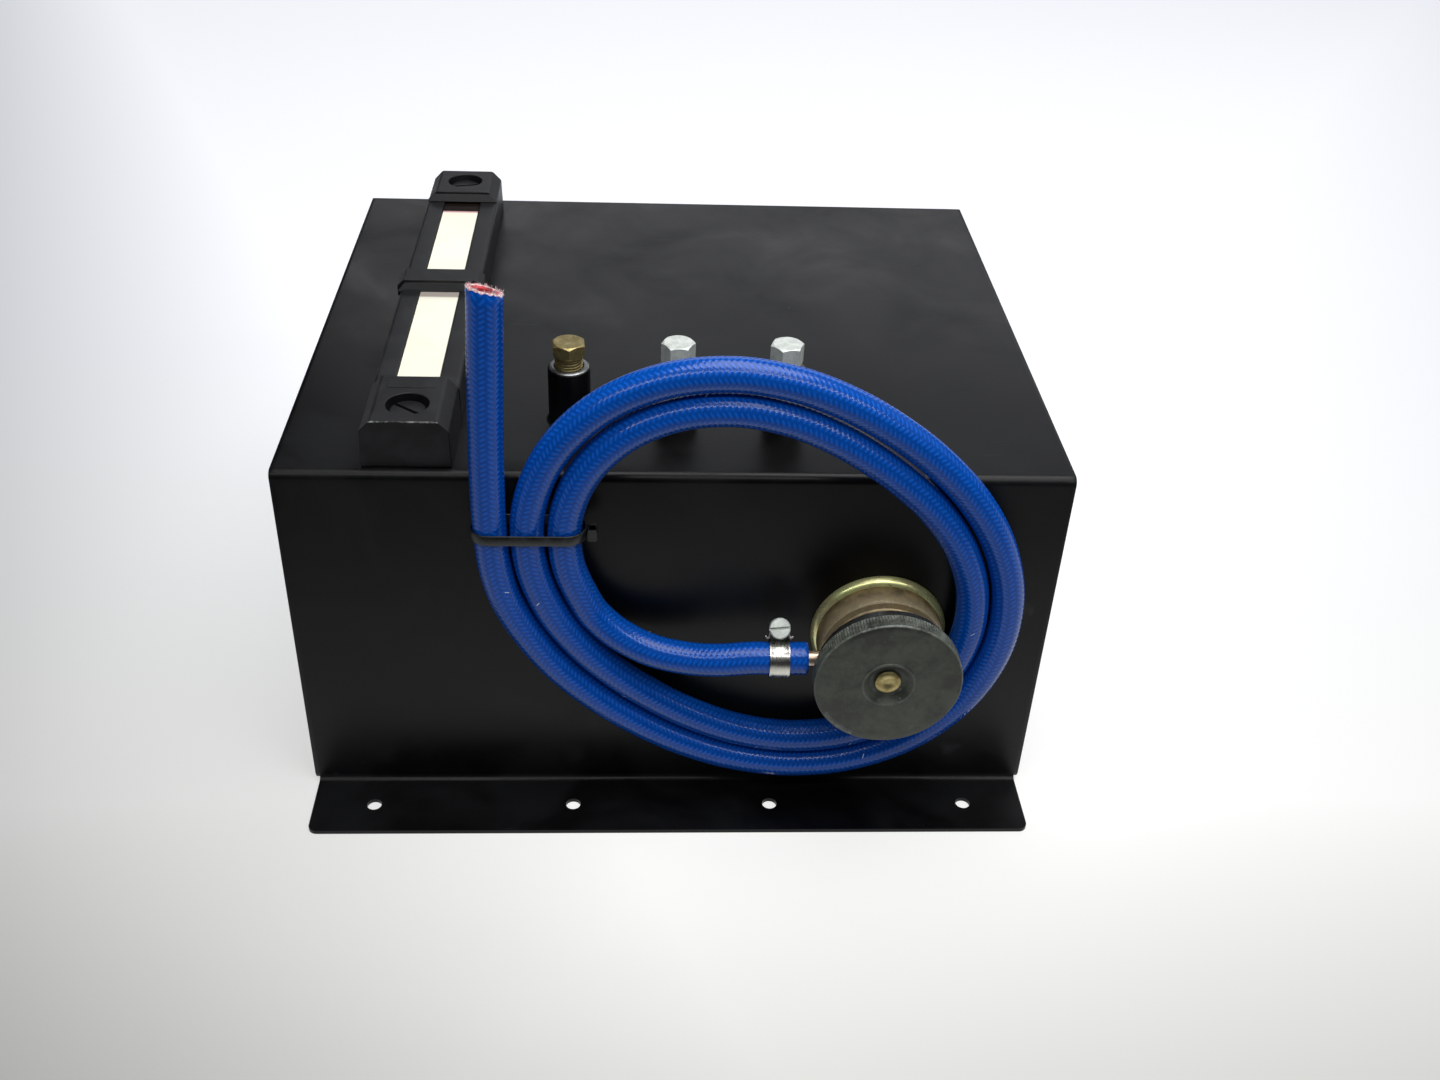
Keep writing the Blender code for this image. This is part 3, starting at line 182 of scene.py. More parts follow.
class StageSettings(bpy.types.PropertyGroup):
    """The studio."""

    floor: colour("Floor", "Light that the floor throws back", "#8c8e90")
    lens: FloatProperty(name="Lens", description="Focal length of the camera", default=37.519, unit="CAMERA")
    overhead: power("Overhead", "Power of the overhead lamp", 22.0)
    front: power("Front", "Power of the tubes above the camera", 12.0)
    behind: power("Behind", "Power of the lamp behind the tank", 3.0)
    ambient: FloatProperty(name="Ambient", description="Strength of the light all round", default=0.15)
    mirrored: FloatProperty(name="Mirrored", description="Strength of the walls in reflections", default=0.65)


class ReservoirSettings(bpy.types.PropertyGroup):
    """All settings of the reservoir."""

    tank: PointerProperty(type=TankSettings)
    gauge: PointerProperty(type=GaugeSettings)
    filler: PointerProperty(type=FillerSettings)
    hose: PointerProperty(type=HoseSettings)
    stage: PointerProperty(type=StageSettings)


def node(tree, kind, inputs=None, out=0, **settings):
    """Adds a node, or finds a starting one, with its settings and links, and gives one of its outputs."""
    made = tree.nodes[kind] if kind in STARTING_NODES else tree.nodes.new("ShaderNode" + kind)
    for name, value in settings.items():
        setattr(made, name, value)
    for key, value in (inputs or {}).items():
        if isinstance(value, bpy.types.NodeSocket):
            tree.links.new(value, made.inputs[key])
        else:
            made.inputs[key].default_value = value
    return made.outputs[out]


def per_mm(size):
    """The scale at which a pattern repeats about once in a size in millimetres."""
    return 1000.0 / size


def finish(lay_nodes):
    """Makes a material once, named for the function that lays its nodes, and gives it from then on."""

    def given():
        name = lay_nodes.__name__
        made = bpy.data.materials.get(name)
        if made is None:
            made = bpy.data.materials.new(name)
            made.use_nodes = True
            lay_nodes(made.node_tree, bpy.context.scene.reservoir)
        return made

    return given


def background_rays(tree):
    """1 for the rays that show the background: to the camera, in metal and through glass."""
    rays = node(tree, "LightPath").node.outputs
    seen = node(tree, "Math", {0: rays["Is Camera Ray"], 1: rays["Is Glossy Ray"]}, operation="MAXIMUM")
    return node(tree, "Math", {0: seen, 1: rays["Is Transmission Ray"]}, operation="MAXIMUM")


def clouded(tree, level, span, first, second, most=1.0):
    """A change from one colour to another, or most of the way, as a level crosses a span."""
    share = node(tree, "MapRange", {0: level, 1: span[0], 2: span[1], 4: most})
    return node(tree, "Mix", {0: share, 6: first, 7: second}, 2, data_type="RGBA")


@finish
def stoved_black_enamel(tree, reservoir):
    # Enamel sprayed and stoved on steel sheet: near black and satin, with a faint orange peel,
    # handling marks that change its gloss, pale dust and scratches, and steel on rubbed edges.
    place = node(tree, "TexCoord", out="Object")
    marks = {"Vector": place, "Scale": per_mm(60), "Detail": 5.0, "Roughness": 0.6, "Distortion": 0.7}
    handled = node(tree, "TexNoise", marks)
    peel = node(tree, "TexNoise", {"Vector": place, "Scale": per_mm(1.8), "Detail": 2.0})
    drawn = node(tree, "Mapping", {"Vector": place, "Rotation": (0.0, 0.0, 0.6), "Scale": (1.0, 22.0, 1.0)})
    scratch = node(tree, "TexNoise", {"Vector": drawn, "Scale": per_mm(38), "Detail": 3.0})
    scratch = node(tree, "MapRange", {0: scratch, 1: 0.70, 2: 0.74})
    speck = node(tree, "TexNoise", {"Vector": place, "Scale": per_mm(2.6), "Detail": 1.0})
    speck = node(tree, "MapRange", {0: speck, 1: 0.78, 2: 0.82})
    pale = node(tree, "Math", {0: scratch, 1: speck}, operation="MAXIMUM")
    where = node(tree, "MapRange", {0: handled, 1: 0.5, 2: 0.68, 3: 0.0, 4: 0.10})
    pale = node(tree, "Math", {0: pale, 1: where}, operation="MULTIPLY")
    worn_and_highlit = node(tree, "Attribute", attribute_name="wear_and_highlight", out="Fac")
    chip = node(tree, "TexNoise", {"Vector": place, "Scale": per_mm(7), "Detail": 6.0, "Roughness": 0.7})
    chip = node(tree, "Math", {0: chip, 1: worn_and_highlit}, operation="MULTIPLY")
    chip = node(tree, "MapRange", {0: chip, 1: 0.52, 2: 0.60})
    paint = clouded(tree, handled, (0.42, 0.58), reservoir.tank.paint, linear("#0e0f10"))
    paint = node(tree, "Mix", {0: pale, 6: paint, 7: linear("#9a9ca0")}, 2, data_type="RGBA")
    paint = node(tree, "Mix", {0: chip, 6: paint, 7: reservoir.tank.rubbed}, 2, data_type="RGBA")
    rough = node(tree, "MapRange", {0: handled, 1: 0.3, 2: 0.7, 3: 0.29, 4: 0.46})
    bump = node(tree, "Bump", {"Height": peel, "Strength": 0.25, "Distance": 0.00008})
    coat = {"Base Color": paint, "Roughness": rough, "Normal": bump, "Metallic": chip}
    node(tree, "Principled BSDF", {**coat, "IOR": 1.5, "Specular IOR Level": 0.22})


@finish
def turned_bare_steel(tree, reservoir):
    # Mild steel left bare from the lathe: grey, with a faint brown bloom and fine tool marks,
    # drawn coarser than they are so that they show.
    place = node(tree, "TexCoord", out="Object")
    bloom = node(tree, "TexNoise", {"Vector": place, "Scale": per_mm(9), "Detail": 5.0})
    steel = clouded(tree, bloom, (0.42, 0.68), linear("#8e9092"), linear("#66615a"))
    tool = node(tree, "TexNoise", {"Vector": place, "Scale": per_mm(0.7), "Detail": 2.0})
    rough = node(tree, "MapRange", {0: tool, 1: 0.3, 2: 0.7, 3: 0.30, 4: 0.48})
    bump = node(tree, "Bump", {"Height": tool, "Strength": 0.3, "Distance": 0.00005})
    node(tree, "Principled BSDF", {"Base Color": steel, "Metallic": 1.0, "Roughness": rough, "Normal": bump})


@finish
def zinc_plated_steel(tree, reservoir):
    # Barrel plated zinc, clear passivated: pale and slightly blue-green, softly mottled, with
    # dull knocks from the barrel and small dark pits.
    place = node(tree, "TexCoord", out="Object")
    mottle = node(tree, "TexNoise", {"Vector": place, "Scale": per_mm(3.5), "Detail": 5.0, "Roughness": 0.65})
    zinc = clouded(tree, mottle, (0.36, 0.66), linear("#c8cec9"), reservoir.tank.zinc)
    pit = node(tree, "TexNoise", {"Vector": place, "Scale": per_mm(1.1), "Detail": 1.0})
    zinc = clouded(tree, pit, (0.66, 0.76), zinc, linear("#5d6361"), 0.25)
    rough = node(tree, "MapRange", {0: mottle, 1: 0.3, 2: 0.7, 3: 0.62, 4: 0.50})
    bump = node(tree, "Bump", {"Height": mottle, "Strength": 0.3, "Distance": 0.0001})
    node(tree, "Principled BSDF", {"Base Color": zinc, "Metallic": 0.5, "Roughness": rough, "Normal": bump})


@finish
def aged_brass(tree, reservoir):
    # Turned brass gone dull in use: olive brown, with darker tarnish and small bright rubs.
    place = node(tree, "TexCoord", out="Object")
    tarnish = node(tree, "TexNoise", {"Vector": place, "Scale": per_mm(4), "Detail": 6.0, "Roughness": 0.65})
    brass = clouded(tree, tarnish, (0.3, 0.6), linear("#7d6d40"), reservoir.tank.brass)
    rub = node(tree, "TexNoise", {"Vector": place, "Scale": per_mm(1.6), "Detail": 2.0})
    brass = clouded(tree, rub, (0.64, 0.76), brass, linear("#c9bb8c"), 0.35)
    rough = node(tree, "MapRange", {0: tarnish, 1: 0.3, 2: 0.7, 3: 0.52, 4: 0.38})
    bump = node(tree, "Bump", {"Height": tarnish, "Strength": 0.3, "Distance": 0.0001})
    node(tree, "Principled BSDF", {"Base Color": brass, "Metallic": 1.0, "Roughness": rough, "Normal": bump})


@finish
def moulded_black_nylon(tree, reservoir):
    # Glass filled nylon from a spark eroded mould: near black, with a fine even grain that
    # spreads the light, drawn coarse enough to show, faint pale flow marks, and pale chips
    # along the front cap's upper front edge, which are partly a painted highlight on that edge.
    place = node(tree, "TexCoord", out="Object")
    grain = node(tree, "TexNoise", {"Vector": place, "Scale": per_mm(0.9), "Detail": 2.0})
    flow = node(tree, "TexNoise", {"Vector": place, "Scale": per_mm(18), "Detail": 4.0, "Distortion": 1.2})
    nylon = clouded(tree, flow, (0.45, 0.75), reservoir.gauge.moulding, linear("#3a3b3f"), 0.35)
    low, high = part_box("gauge_front_cap")
    split = node(tree, "SeparateXYZ", {0: place}).node.outputs
    # Pale chips along the front cap's upper front edge: partly real chips, partly a painted highlight of that edge.
    front = node(tree, "MapRange", {0: split["Y"], 1: low.y + 0.0008, 2: low.y + 0.0005})
    upper = node(tree, "MapRange", {0: split["Z"], 1: high.z - 0.0008, 2: high.z - 0.0005})
    chip = node(tree, "TexNoise", {"Vector": place, "Scale": per_mm(5), "Detail": 5.0, "Roughness": 0.7})
    chip = node(tree, "Math", {0: chip, 1: front}, operation="MULTIPLY")
    chip = node(tree, "Math", {0: chip, 1: upper}, operation="MULTIPLY")
    nylon = clouded(tree, chip, (0.46, 0.66), nylon, linear("#9c9e97"))
    rough = node(tree, "MapRange", {0: flow, 1: 0.3, 2: 0.7, 3: 0.44, 4: 0.56})
    bump = node(tree, "Bump", {"Height": grain, "Strength": 0.3, "Distance": 0.0001})
    body = {"Base Color": nylon, "Roughness": rough, "Normal": bump}
    node(tree, "Principled BSDF", {**body, "IOR": 1.53, "Specular IOR Level": 0.3})


@finish
def printed_cream_card(tree, reservoir):
    # Coated card printed cream: bright and matt, with a faint mottle and a narrow pink band at
    # the rear.
    place = node(tree, "TexCoord", out="Object")
    along = node(tree, "SeparateXYZ", {0: place}, out="Y")
    mottle = node(tree, "TexNoise", {"Vector": place, "Scale": per_mm(14), "Detail": 3.0})
    card = clouded(tree, mottle, (0.45, 0.7), reservoir.gauge.strip, linear("#f3ead0"), 0.25)
    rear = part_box("gauge_reflector")[1].y
    card = clouded(tree, along, (rear - 0.0065, rear - 0.006), card, linear("#e8b7b4"))
    node(tree, "Principled BSDF", {"Base Color": card, "Roughness": 0.6, "IOR": 1.5})


@finish
def clear_moulded_acrylic(tree, reservoir):
    # Clear acrylic whose prisms throw the cream strip's light up to its face: a pale cream bar
    # with a glossy skin and faint haze, a painted grey shadow cast by the clip just before it,
    # a pink line at its rear, and a dark end where no strip is.
    place = node(tree, "TexCoord", out="Object")
    along = node(tree, "SeparateXYZ", {0: place}, out="Y")
    haze = node(tree, "TexNoise", {"Vector": place, "Scale": per_mm(25), "Detail": 3.0})
    cream = clouded(tree, haze, (0.4, 0.7), reservoir.gauge.strip, linear("#f6efd6"), 0.4)
    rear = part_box("gauge_rear_cap")[0].y - 0.0125
    clip_low, clip_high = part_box("gauge_clip")
    cream = clouded(tree, along, (rear - 0.0022, rear - 0.0014), cream, linear("#dba6a8"))
    # Painted shadow: the cream turns grey for a few millimetres before the clip, where the clip's shadow falls.
    shade = node(tree, "MapRange", {0: along, 1: clip_low.y - 0.0085, 2: clip_low.y - 0.0070})
    beyond = node(tree, "MapRange", {0: along, 1: clip_low.y, 2: clip_high.y, 3: 1.0, 4: 0.0})
    shade = node(tree, "Math", {0: shade, 1: beyond}, operation="MULTIPLY")
    cream = node(tree, "Mix", {0: shade, 6: cream, 7: linear("#a49b93")}, 2, data_type="RGBA")
    body = clouded(tree, along, (rear - 0.0004, rear + 0.0004), cream, linear("#1c1614"))
    rough = node(tree, "MapRange", {0: haze, 1: 0.3, 2: 0.7, 3: 0.08, 4: 0.2})
    node(tree, "Principled BSDF", {"Base Color": body, "Roughness": rough, "IOR": 1.49, "Alpha": 0.9})


@finish
def yellow_passivated_zinc(tree, reservoir):
    # Zinc plate with a yellow chromate dip: a greenish yellow film with straw and pink drifts
    # over bright metal.
    place = node(tree, "TexCoord", out="Object")
    drift = node(tree, "TexNoise", {"Vector": place, "Scale": per_mm(16), "Detail": 3.0, "Distortion": 0.8})
    film = clouded(tree, drift, (0.4, 0.62), reservoir.filler.passivate, linear("#d8d098"))
    grain = node(tree, "TexNoise", {"Vector": place, "Scale": per_mm(1.5), "Detail": 3.0})
    rough = node(tree, "MapRange", {0: grain, 1: 0.3, 2: 0.7, 3: 0.26, 4: 0.36})
    bump = node(tree, "Bump", {"Height": grain, "Strength": 0.2, "Distance": 0.00005})
    node(tree, "Principled BSDF", {"Base Color": film, "Metallic": 0.75, "Roughness": rough, "Normal": bump})


@finish
def worn_brown_passivate(tree, reservoir):
    # The neck's older passivate: brown gold and dull, with grime in streaks, and a tan band of
    # speckled bare metal along the rubbed edge.
    place = node(tree, "TexCoord", out="Object")
    grime = node(tree, "TexNoise", {"Vector": place, "Scale": per_mm(7), "Detail": 6.0, "Roughness": 0.65})
    film = clouded(tree, grime, (0.38, 0.66), linear("#4a3b26"), reservoir.filler.collar)
    worn_and_highlit = node(tree, "Attribute", attribute_name="wear_and_highlight", out="Fac")
    speck = node(tree, "TexNoise", {"Vector": place, "Scale": per_mm(1.3), "Detail": 4.0, "Roughness": 0.7})
    speck = node(tree, "Math", {0: speck, 1: worn_and_highlit}, operation="MULTIPLY")
    speck = node(tree, "MapRange", {0: speck, 1: 0.56, 2: 0.70, 4: 0.6})
    rubbed = node(tree, "MapRange", {0: worn_and_highlit, 4: 0.6})
    film = node(tree, "Mix", {0: rubbed, 6: film, 7: linear("#b5a88a")}, 2, data_type="RGBA")
    film = node(tree, "Mix", {0: speck, 6: film, 7: linear("#ded8c6")}, 2, data_type="RGBA")
    rough = node(tree, "MapRange", {0: grime, 1: 0.3, 2: 0.7, 3: 0.5, 4: 0.34})
    bump = node(tree, "Bump", {"Height": grime, "Strength": 0.25, "Distance": 0.0001})
    node(tree, "Principled BSDF", {"Base Color": film, "Metallic": 0.45, "Roughness": rough, "Normal": bump})


@finish
def moulded_grey_phenolic(tree, reservoir):
    # Phenolic moulding with mineral filler: dark grey green, mottled, with pale scuffs and a
    # thin pale line along its edge, partly rubbed and partly a painted highlight, stronger at the top.
    place = node(tree, "TexCoord", out="Object")
    mottle = node(tree, "TexNoise", {"Vector": place, "Scale": per_mm(11), "Detail": 6.0, "Roughness": 0.65})
    body = clouded(tree, mottle, (0.40, 0.62), reservoir.filler.moulding, linear("#42473c"))
    scuff = node(tree, "TexNoise", {"Vector": place, "Scale": per_mm(3.2), "Detail": 4.0, "Roughness": 0.7})
    scuffed = node(tree, "MapRange", {0: scuff, 1: 0.64, 2: 0.76, 3: 0.0, 4: 0.35})
    # The stored amount is partly real rubs and scuffs and partly painted highlights on the rim, its serrations and the
    # raised ring; all of them are drawn in the same pale grey.
    worn_and_highlit = node(tree, "Attribute", attribute_name="wear_and_highlight", out="Fac")
    edge = node(tree, "MapRange", {0: scuff, 1: 0.40, 2: 0.62, 3: 0.2, 4: 1.0})
    edge = node(tree, "Math", {0: edge, 1: worn_and_highlit}, operation="MULTIPLY")
    pale = node(tree, "Math", {0: scuffed, 1: edge}, operation="MAXIMUM")
    body = node(tree, "Mix", {0: pale, 6: body, 7: linear("#a3a89f")}, 2, data_type="RGBA")
    rough = node(tree, "MapRange", {0: mottle, 1: 0.3, 2: 0.7, 3: 0.42, 4: 0.58})
    bump = node(tree, "Bump", {"Height": scuff, "Strength": 0.25, "Distance": 0.00012})
    shell = {"Base Color": body, "Roughness": rough, "Normal": bump}
    node(tree, "Principled BSDF", {**shell, "IOR": 1.55})


@finish
def drawn_copper(tree, reservoir):
    # Drawn copper tube, bright and pinkish where it has been handled, with die lines along it.
    place = node(tree, "TexCoord", out="Object")
    drawn = node(tree, "Mapping", {"Vector": place, "Scale": (0.06, 1.0, 1.0)})
    line = node(tree, "TexNoise", {"Vector": drawn, "Scale": per_mm(0.8), "Detail": 3.0})
    copper = clouded(tree, line, (0.35, 0.65), linear("#d8b79c"), reservoir.filler.copper)
    rough = node(tree, "MapRange", {0: line, 1: 0.3, 2: 0.7, 3: 0.48, 4: 0.38})
    node(tree, "Principled BSDF", {"Base Color": copper, "Metallic": 1.0, "Roughness": rough})


@finish
def rolled_stainless_strip(tree, reservoir):
    # Cold rolled stainless: bright, with rolling lines round the band, drawn coarse enough to show.
    place = node(tree, "TexCoord", out="Object")
    rolled = node(tree, "Mapping", {"Vector": place, "Scale": (1.0, 0.08, 0.08)})
    line = node(tree, "TexNoise", {"Vector": rolled, "Scale": per_mm(0.5), "Detail": 2.0})
    steel = clouded(tree, line, (0.35, 0.65), linear("#c0beb7"), reservoir.hose.steel)
    rough = node(tree, "MapRange", {0: line, 1: 0.3, 2: 0.7, 3: 0.25, 4: 0.29})
    node(tree, "Principled BSDF", {"Base Color": steel, "Metallic": 1.0, "Roughness": rough})


@finish
def heat_blued_steel(tree, reservoir):
    # Spring steel darkened by its heat treatment: dark grey, fairly smooth and slightly clouded.
    place = node(tree, "TexCoord", out="Object")
    blue = node(tree, "TexNoise", {"Vector": place, "Scale": per_mm(5), "Detail": 4.0})
    steel = clouded(tree, blue, (0.38, 0.64), linear("#5a5b60"), linear("#868688"))
    rough = node(tree, "MapRange", {0: blue, 1: 0.3, 2: 0.7, 3: 0.28, 4: 0.42})
    node(tree, "Principled BSDF", {"Base Color": steel, "Metallic": 1.0, "Roughness": rough})


@finish
def moulded_seal_rubber(tree, reservoir):
    # Nitrile rubber: matt black with a slight grey bloom.
    place = node(tree, "TexCoord", out="Object")
    bloom = node(tree, "TexNoise", {"Vector": place, "Scale": per_mm(6), "Detail": 5.0})
    rubber = clouded(tree, bloom, (0.4, 0.75), linear("#101010"), linear("#2b2b2a"))
    bump = node(tree, "Bump", {"Height": bloom, "Strength": 0.2, "Distance": 0.0001})
    node(tree, "Principled BSDF", {"Base Color": rubber, "Roughness": 0.7, "IOR": 1.52, "Normal": bump})


@finish
def braided_blue_silicone(tree, reservoir):
    # Silicone laid over a woven braid: a glossy, saturated blue in which each strand stands out
    # where it lies over two others, as rows of short slanting dashes, with painted shade darkening
    # the grooves between strands, a painted highlight lightening their crests, and a few pale fibre ends.
    hose = reservoir.hose
    split = node(tree, "SeparateXYZ", {0: node(tree, "TexCoord", out="UV")})
    around = node(tree, "Math", {0: split, 1: float(hose.strands)}, operation="MULTIPLY")
    lengths = {0: split.node.outputs["Y"], 1: hose.strands / hose.lay}
    along = node(tree, "Math", lengths, operation="MULTIPLY")
    right = node(tree, "Math", {0: around, 1: along})
    left = node(tree, "Math", {0: around, 1: along}, operation="SUBTRACT")
    right_cell = node(tree, "Math", {0: right}, operation="FLOOR")
    left_cell = node(tree, "Math", {0: left}, operation="FLOOR")
    right_part = node(tree, "Math", {0: right}, operation="FRACT")
    left_part = node(tree, "Math", {0: left}, operation="FRACT")
    crossing = node(tree, "Math", {0: right_cell, 1: left_cell})
    crossing = node(tree, "Math", {0: crossing, 1: 4.0}, operation="FLOORED_MODULO")
    over = node(tree, "Math", {0: crossing, 1: 1.5}, operation="GREATER_THAN")
    second = node(tree, "Math", {0: crossing, 1: 2.0}, operation="FLOORED_MODULO")
    across_strand = node(tree, "Mix", {0: over, 2: right_part, 3: left_part})
    along_strand = node(tree, "Mix", {0: over, 2: left_part, 3: right_part})
    along_strand = node(tree, "Math", {0: along_strand, 1: second})
    ridge = node(tree, "Math", {0: across_strand, 1: 0.5}, operation="PINGPONG")
    round_ridge = node(tree, "MapRange", {0: ridge, 2: 0.5}, interpolation_type="SMOOTHSTEP")
    hump = node(tree, "Math", {0: along_strand, 1: 1.0}, operation="PINGPONG")
    hump = node(tree, "MapRange", {0: hump, 2: 0.7}, interpolation_type="SMOOTHSTEP")
    height = node(tree, "Math", {0: round_ridge, 1: hump}, operation="MULTIPLY")
    cell = node(tree, "CombineXYZ", {0: right_cell, 1: left_cell})
    chance = node(tree, "TexWhiteNoise", {0: cell}, noise_dimensions="2D")
    # Painted shade: the grooves between the strands are a darker blue.
    blue = node(tree, "Mix", {0: height, 6: linear("#044298"), 7: hose.silicone}, 2, data_type="RGBA")
    drift = node(tree, "MapRange", {0: chance, 4: 0.2})
    blue = node(tree, "Mix", {0: drift, 6: blue, 7: linear("#0b5cc4")}, 2, data_type="RGBA")
    # Painted highlight: the strands' crests are tinted a paler blue.
    blue = clouded(tree, height, (0.6, 1.0), blue, linear("#2f7ce0"), 0.15)
    stray = node(tree, "MapRange", {0: chance, 1: 0.9993, 2: 0.9995})
    tip = node(tree, "MapRange", {0: ridge, 1: 0.38, 2: 0.44})
    stray = node(tree, "Math", {0: stray, 1: tip}, operation="MULTIPLY")
    blue = node(tree, "Mix", {0: stray, 6: blue, 7: linear("#dfe6f2")}, 2, data_type="RGBA")
    bump = node(tree, "Bump", {"Height": height, "Strength": 0.36, "Distance": 0.0002})
    skin_coat = {"Base Color": blue, "Roughness": 0.18, "IOR": 1.42, "Specular IOR Level": 0.46, "Normal": bump}
    node(tree, "Principled BSDF", skin_coat)


@finish
def red_silicone_liner(tree, reservoir):
    # The hose's inner layer: smooth silicone, dull red and a little cloudy.
    place = node(tree, "TexCoord", out="Object")
    cloud = node(tree, "TexNoise", {"Vector": place, "Scale": per_mm(3), "Detail": 4.0})
    red = clouded(tree, cloud, (0.38, 0.66), linear("#7c2a2c"), reservoir.hose.liner)
    node(tree, "Principled BSDF", {"Base Color": red, "Roughness": 0.5, "IOR": 1.42})


@finish
def cut_polyester_fibre(tree, reservoir):
    # Ends of the reinforcing yarn where the hose was cut: off white, pink from the liner.
    place = node(tree, "TexCoord", out="Object")
    yarn = node(tree, "TexNoise", {"Vector": place, "Scale": per_mm(0.9), "Detail": 3.0})
    fibre = clouded(tree, yarn, (0.42, 0.62), linear("#cf8f92"), linear("#f3f1f0"))
    bump = node(tree, "Bump", {"Height": yarn, "Strength": 0.6, "Distance": 0.0003})
    node(tree, "Principled BSDF", {"Base Color": fibre, "Roughness": 0.7, "IOR": 1.5, "Normal": bump})


@finish
def moulded_tie_nylon(tree, reservoir):
    # Weather proof black nylon: smooth and satin with faint drag marks along the strap.
    place = node(tree, "TexCoord", out="Object")
    drag = node(tree, "TexNoise", {"Vector": place, "Scale": per_mm(4), "Detail": 4.0})
    nylon = clouded(tree, drag, (0.4, 0.75), linear("#0c0c0d"), linear("#26272a"))
    rough = node(tree, "MapRange", {0: drag, 1: 0.3, 2: 0.7, 3: 0.32, 4: 0.46})
    node(tree, "Principled BSDF", {"Base Color": nylon, "Roughness": rough, "IOR": 1.53})


@finish
def white_floor_laminate(tree, reservoir):
    # Matt white laminate: even, with the faintest cloudiness. Seen, it is partly a pale backdrop,
    # so that shadows on it stay faint, and painted shade darkens it towards the left, the front and
    # the right front corner, and, in reflections, towards the far front.
    place = node(tree, "TexCoord", out="Object")
    split = node(tree, "SeparateXYZ", {0: place})
    depth = split.node.outputs["Y"]
    cloud = node(tree, "TexNoise", {"Vector": place, "Scale": per_mm(400), "Detail": 2.0})
    white = clouded(tree, cloud, (0.4, 0.7), reservoir.stage.floor, linear("#86888a"), 0.3)
    # Painted shade: the floor darkens towards the left, the front and the right front corner.
    left = node(tree, "Math", {0: depth, 1: 0.45, 2: split}, operation="MULTIPLY_ADD")
    left = node(tree, "MapRange", {0: left, 1: -0.417, 2: -0.11, 3: 0.52, 4: 1.0})
    near = node(tree, "MapRange", {0: depth, 1: -0.365, 2: -0.168, 3: 0.64, 4: 1.0})
    right = node(tree, "Math", {0: depth, 1: -0.66, 2: split}, operation="MULTIPLY_ADD")
    right = node(tree, "MapRange", {0: right, 1: 0.135, 2: 0.575, 3: 1.0, 4: 0.78})
    grey = node(tree, "Math", {0: left, 1: near}, operation="MULTIPLY")
    grey = node(tree, "Math", {0: grey, 1: right}, operation="MULTIPLY")
    seen = background_rays(tree)
    # Painted shade in reflections: seen in glossy rays, the floor darkens towards the far front.
    mirrored = node(tree, "LightPath", out="Is Glossy Ray")
    reflected_front_shade = node(tree, "MapRange", {0: depth, 1: -0.66, 2: -0.34, 3: 0.10, 4: 1.0})
    reflected_front_shade = node(tree, "Mix", {0: mirrored, 2: 1.0, 3: reflected_front_shade})
    grey = node(tree, "Math", {0: grey, 1: reflected_front_shade}, operation="MULTIPLY")
    held = node(tree, "Math", {0: grey, 1: 0.40}, operation="MULTIPLY")
    lit = node(tree, "Mix", {0: seen, 6: white, 7: held}, 2, data_type="RGBA")
    glow = node(tree, "Math", {0: grey, 1: seen}, operation="MULTIPLY")
    glow = node(tree, "Math", {0: glow, 1: 0.72}, operation="MULTIPLY")
    tint = clouded(tree, depth, (-0.35, 0.3), linear("#fafbf3"), linear("#f6f8ff"))
    pale = {"Emission Color": tint, "Emission Strength": glow}
    node(tree, "Principled BSDF", {"Base Color": lit, "Roughness": 0.55, "IOR": 1.5, **pale})


def skin(rings, closed=False):
    """Faces between rings of points: a loop of rings, or a run of them with both ends filled."""
    shape = bmesh.new()
    rows = [[shape.verts.new(point) for point in ring] for ring in rings]
    pairs = list(zip(rows, rows[1:]))
    if closed:
        pairs.append((rows[-1], rows[0]))
    else:
        shape.faces.new(rows[0])
        shape.faces.new(rows[-1])
    for first, second in pairs:
        for index in range(len(first)):
            shape.faces.new((first[index - 1], first[index], second[index], second[index - 1]))
    bmesh.ops.remove_doubles(shape, verts=shape.verts, dist=1e-7)
    bmesh.ops.recalc_face_normals(shape, faces=shape.faces)
    return shape


def turned(section, steps):
    """A closed section turned about Z; section(angle) gives its (radius, height) points."""
    rings = []
    for step in range(steps):
        angle = 2 * math.pi * step / steps
        spoke = (math.cos(angle), math.sin(angle))
        rings.append([(radius * spoke[0], radius * spoke[1], height) for radius, height in section(angle)])
    return skin(rings, closed=True)


def lathe(section, steps=96):
    """A closed (radius, height) section that is the same all round, turned about Z."""
    return turned(lambda angle: section, steps)


def rod(radius, low, high, steps):
    """A round bar along Z, to cut a hole with."""
    return lathe([(0.0, low), (radius, low), (radius, high), (0.0, high)], steps)


def circle(centre, side, up, radius, sides):
    """Points round a centre, in the plane of two directions."""
    turns = [2 * math.pi * step / sides for step in range(sides)]
    return [centre + (side * math.cos(turn) + up * math.sin(turn)) * radius for turn in turns]


def extruded(outline, axis, start, end):
    """A closed outline carried along X, Y or Z; the outline gives the other two axes in order."""
    rings = []
    for along in (start, end):
        ring = []
        for point in outline:
            place = list(point)
            place.insert("XYZ".index(axis), along)
            ring.append(place)
        rings.append(ring)
    return skin(rings)


def rounded(corners, radii, steps=5):
    """A closed outline whose corners are rounded, each to its own radius."""
    outline = []
    for index, corner in enumerate(corners):
        radius = radii[index]
        if radius == 0.0:
            outline.append(tuple(corner))
            continue
        here = Vector(corner)
        before = (Vector(corners[index - 1]) - here).normalized()
        after = (Vector(corners[(index + 1) % len(corners)]) - here).normalized()
        half = before.angle(after) / 2
        centre = here + (before + after).normalized() * radius / math.sin(half)
        start = here + before * radius / math.tan(half) - centre
        end = here + after * radius / math.tan(half) - centre
        for step in range(steps + 1):
            outline.append(tuple(centre + start.lerp(end, step / steps).normalized() * radius))
    return outline


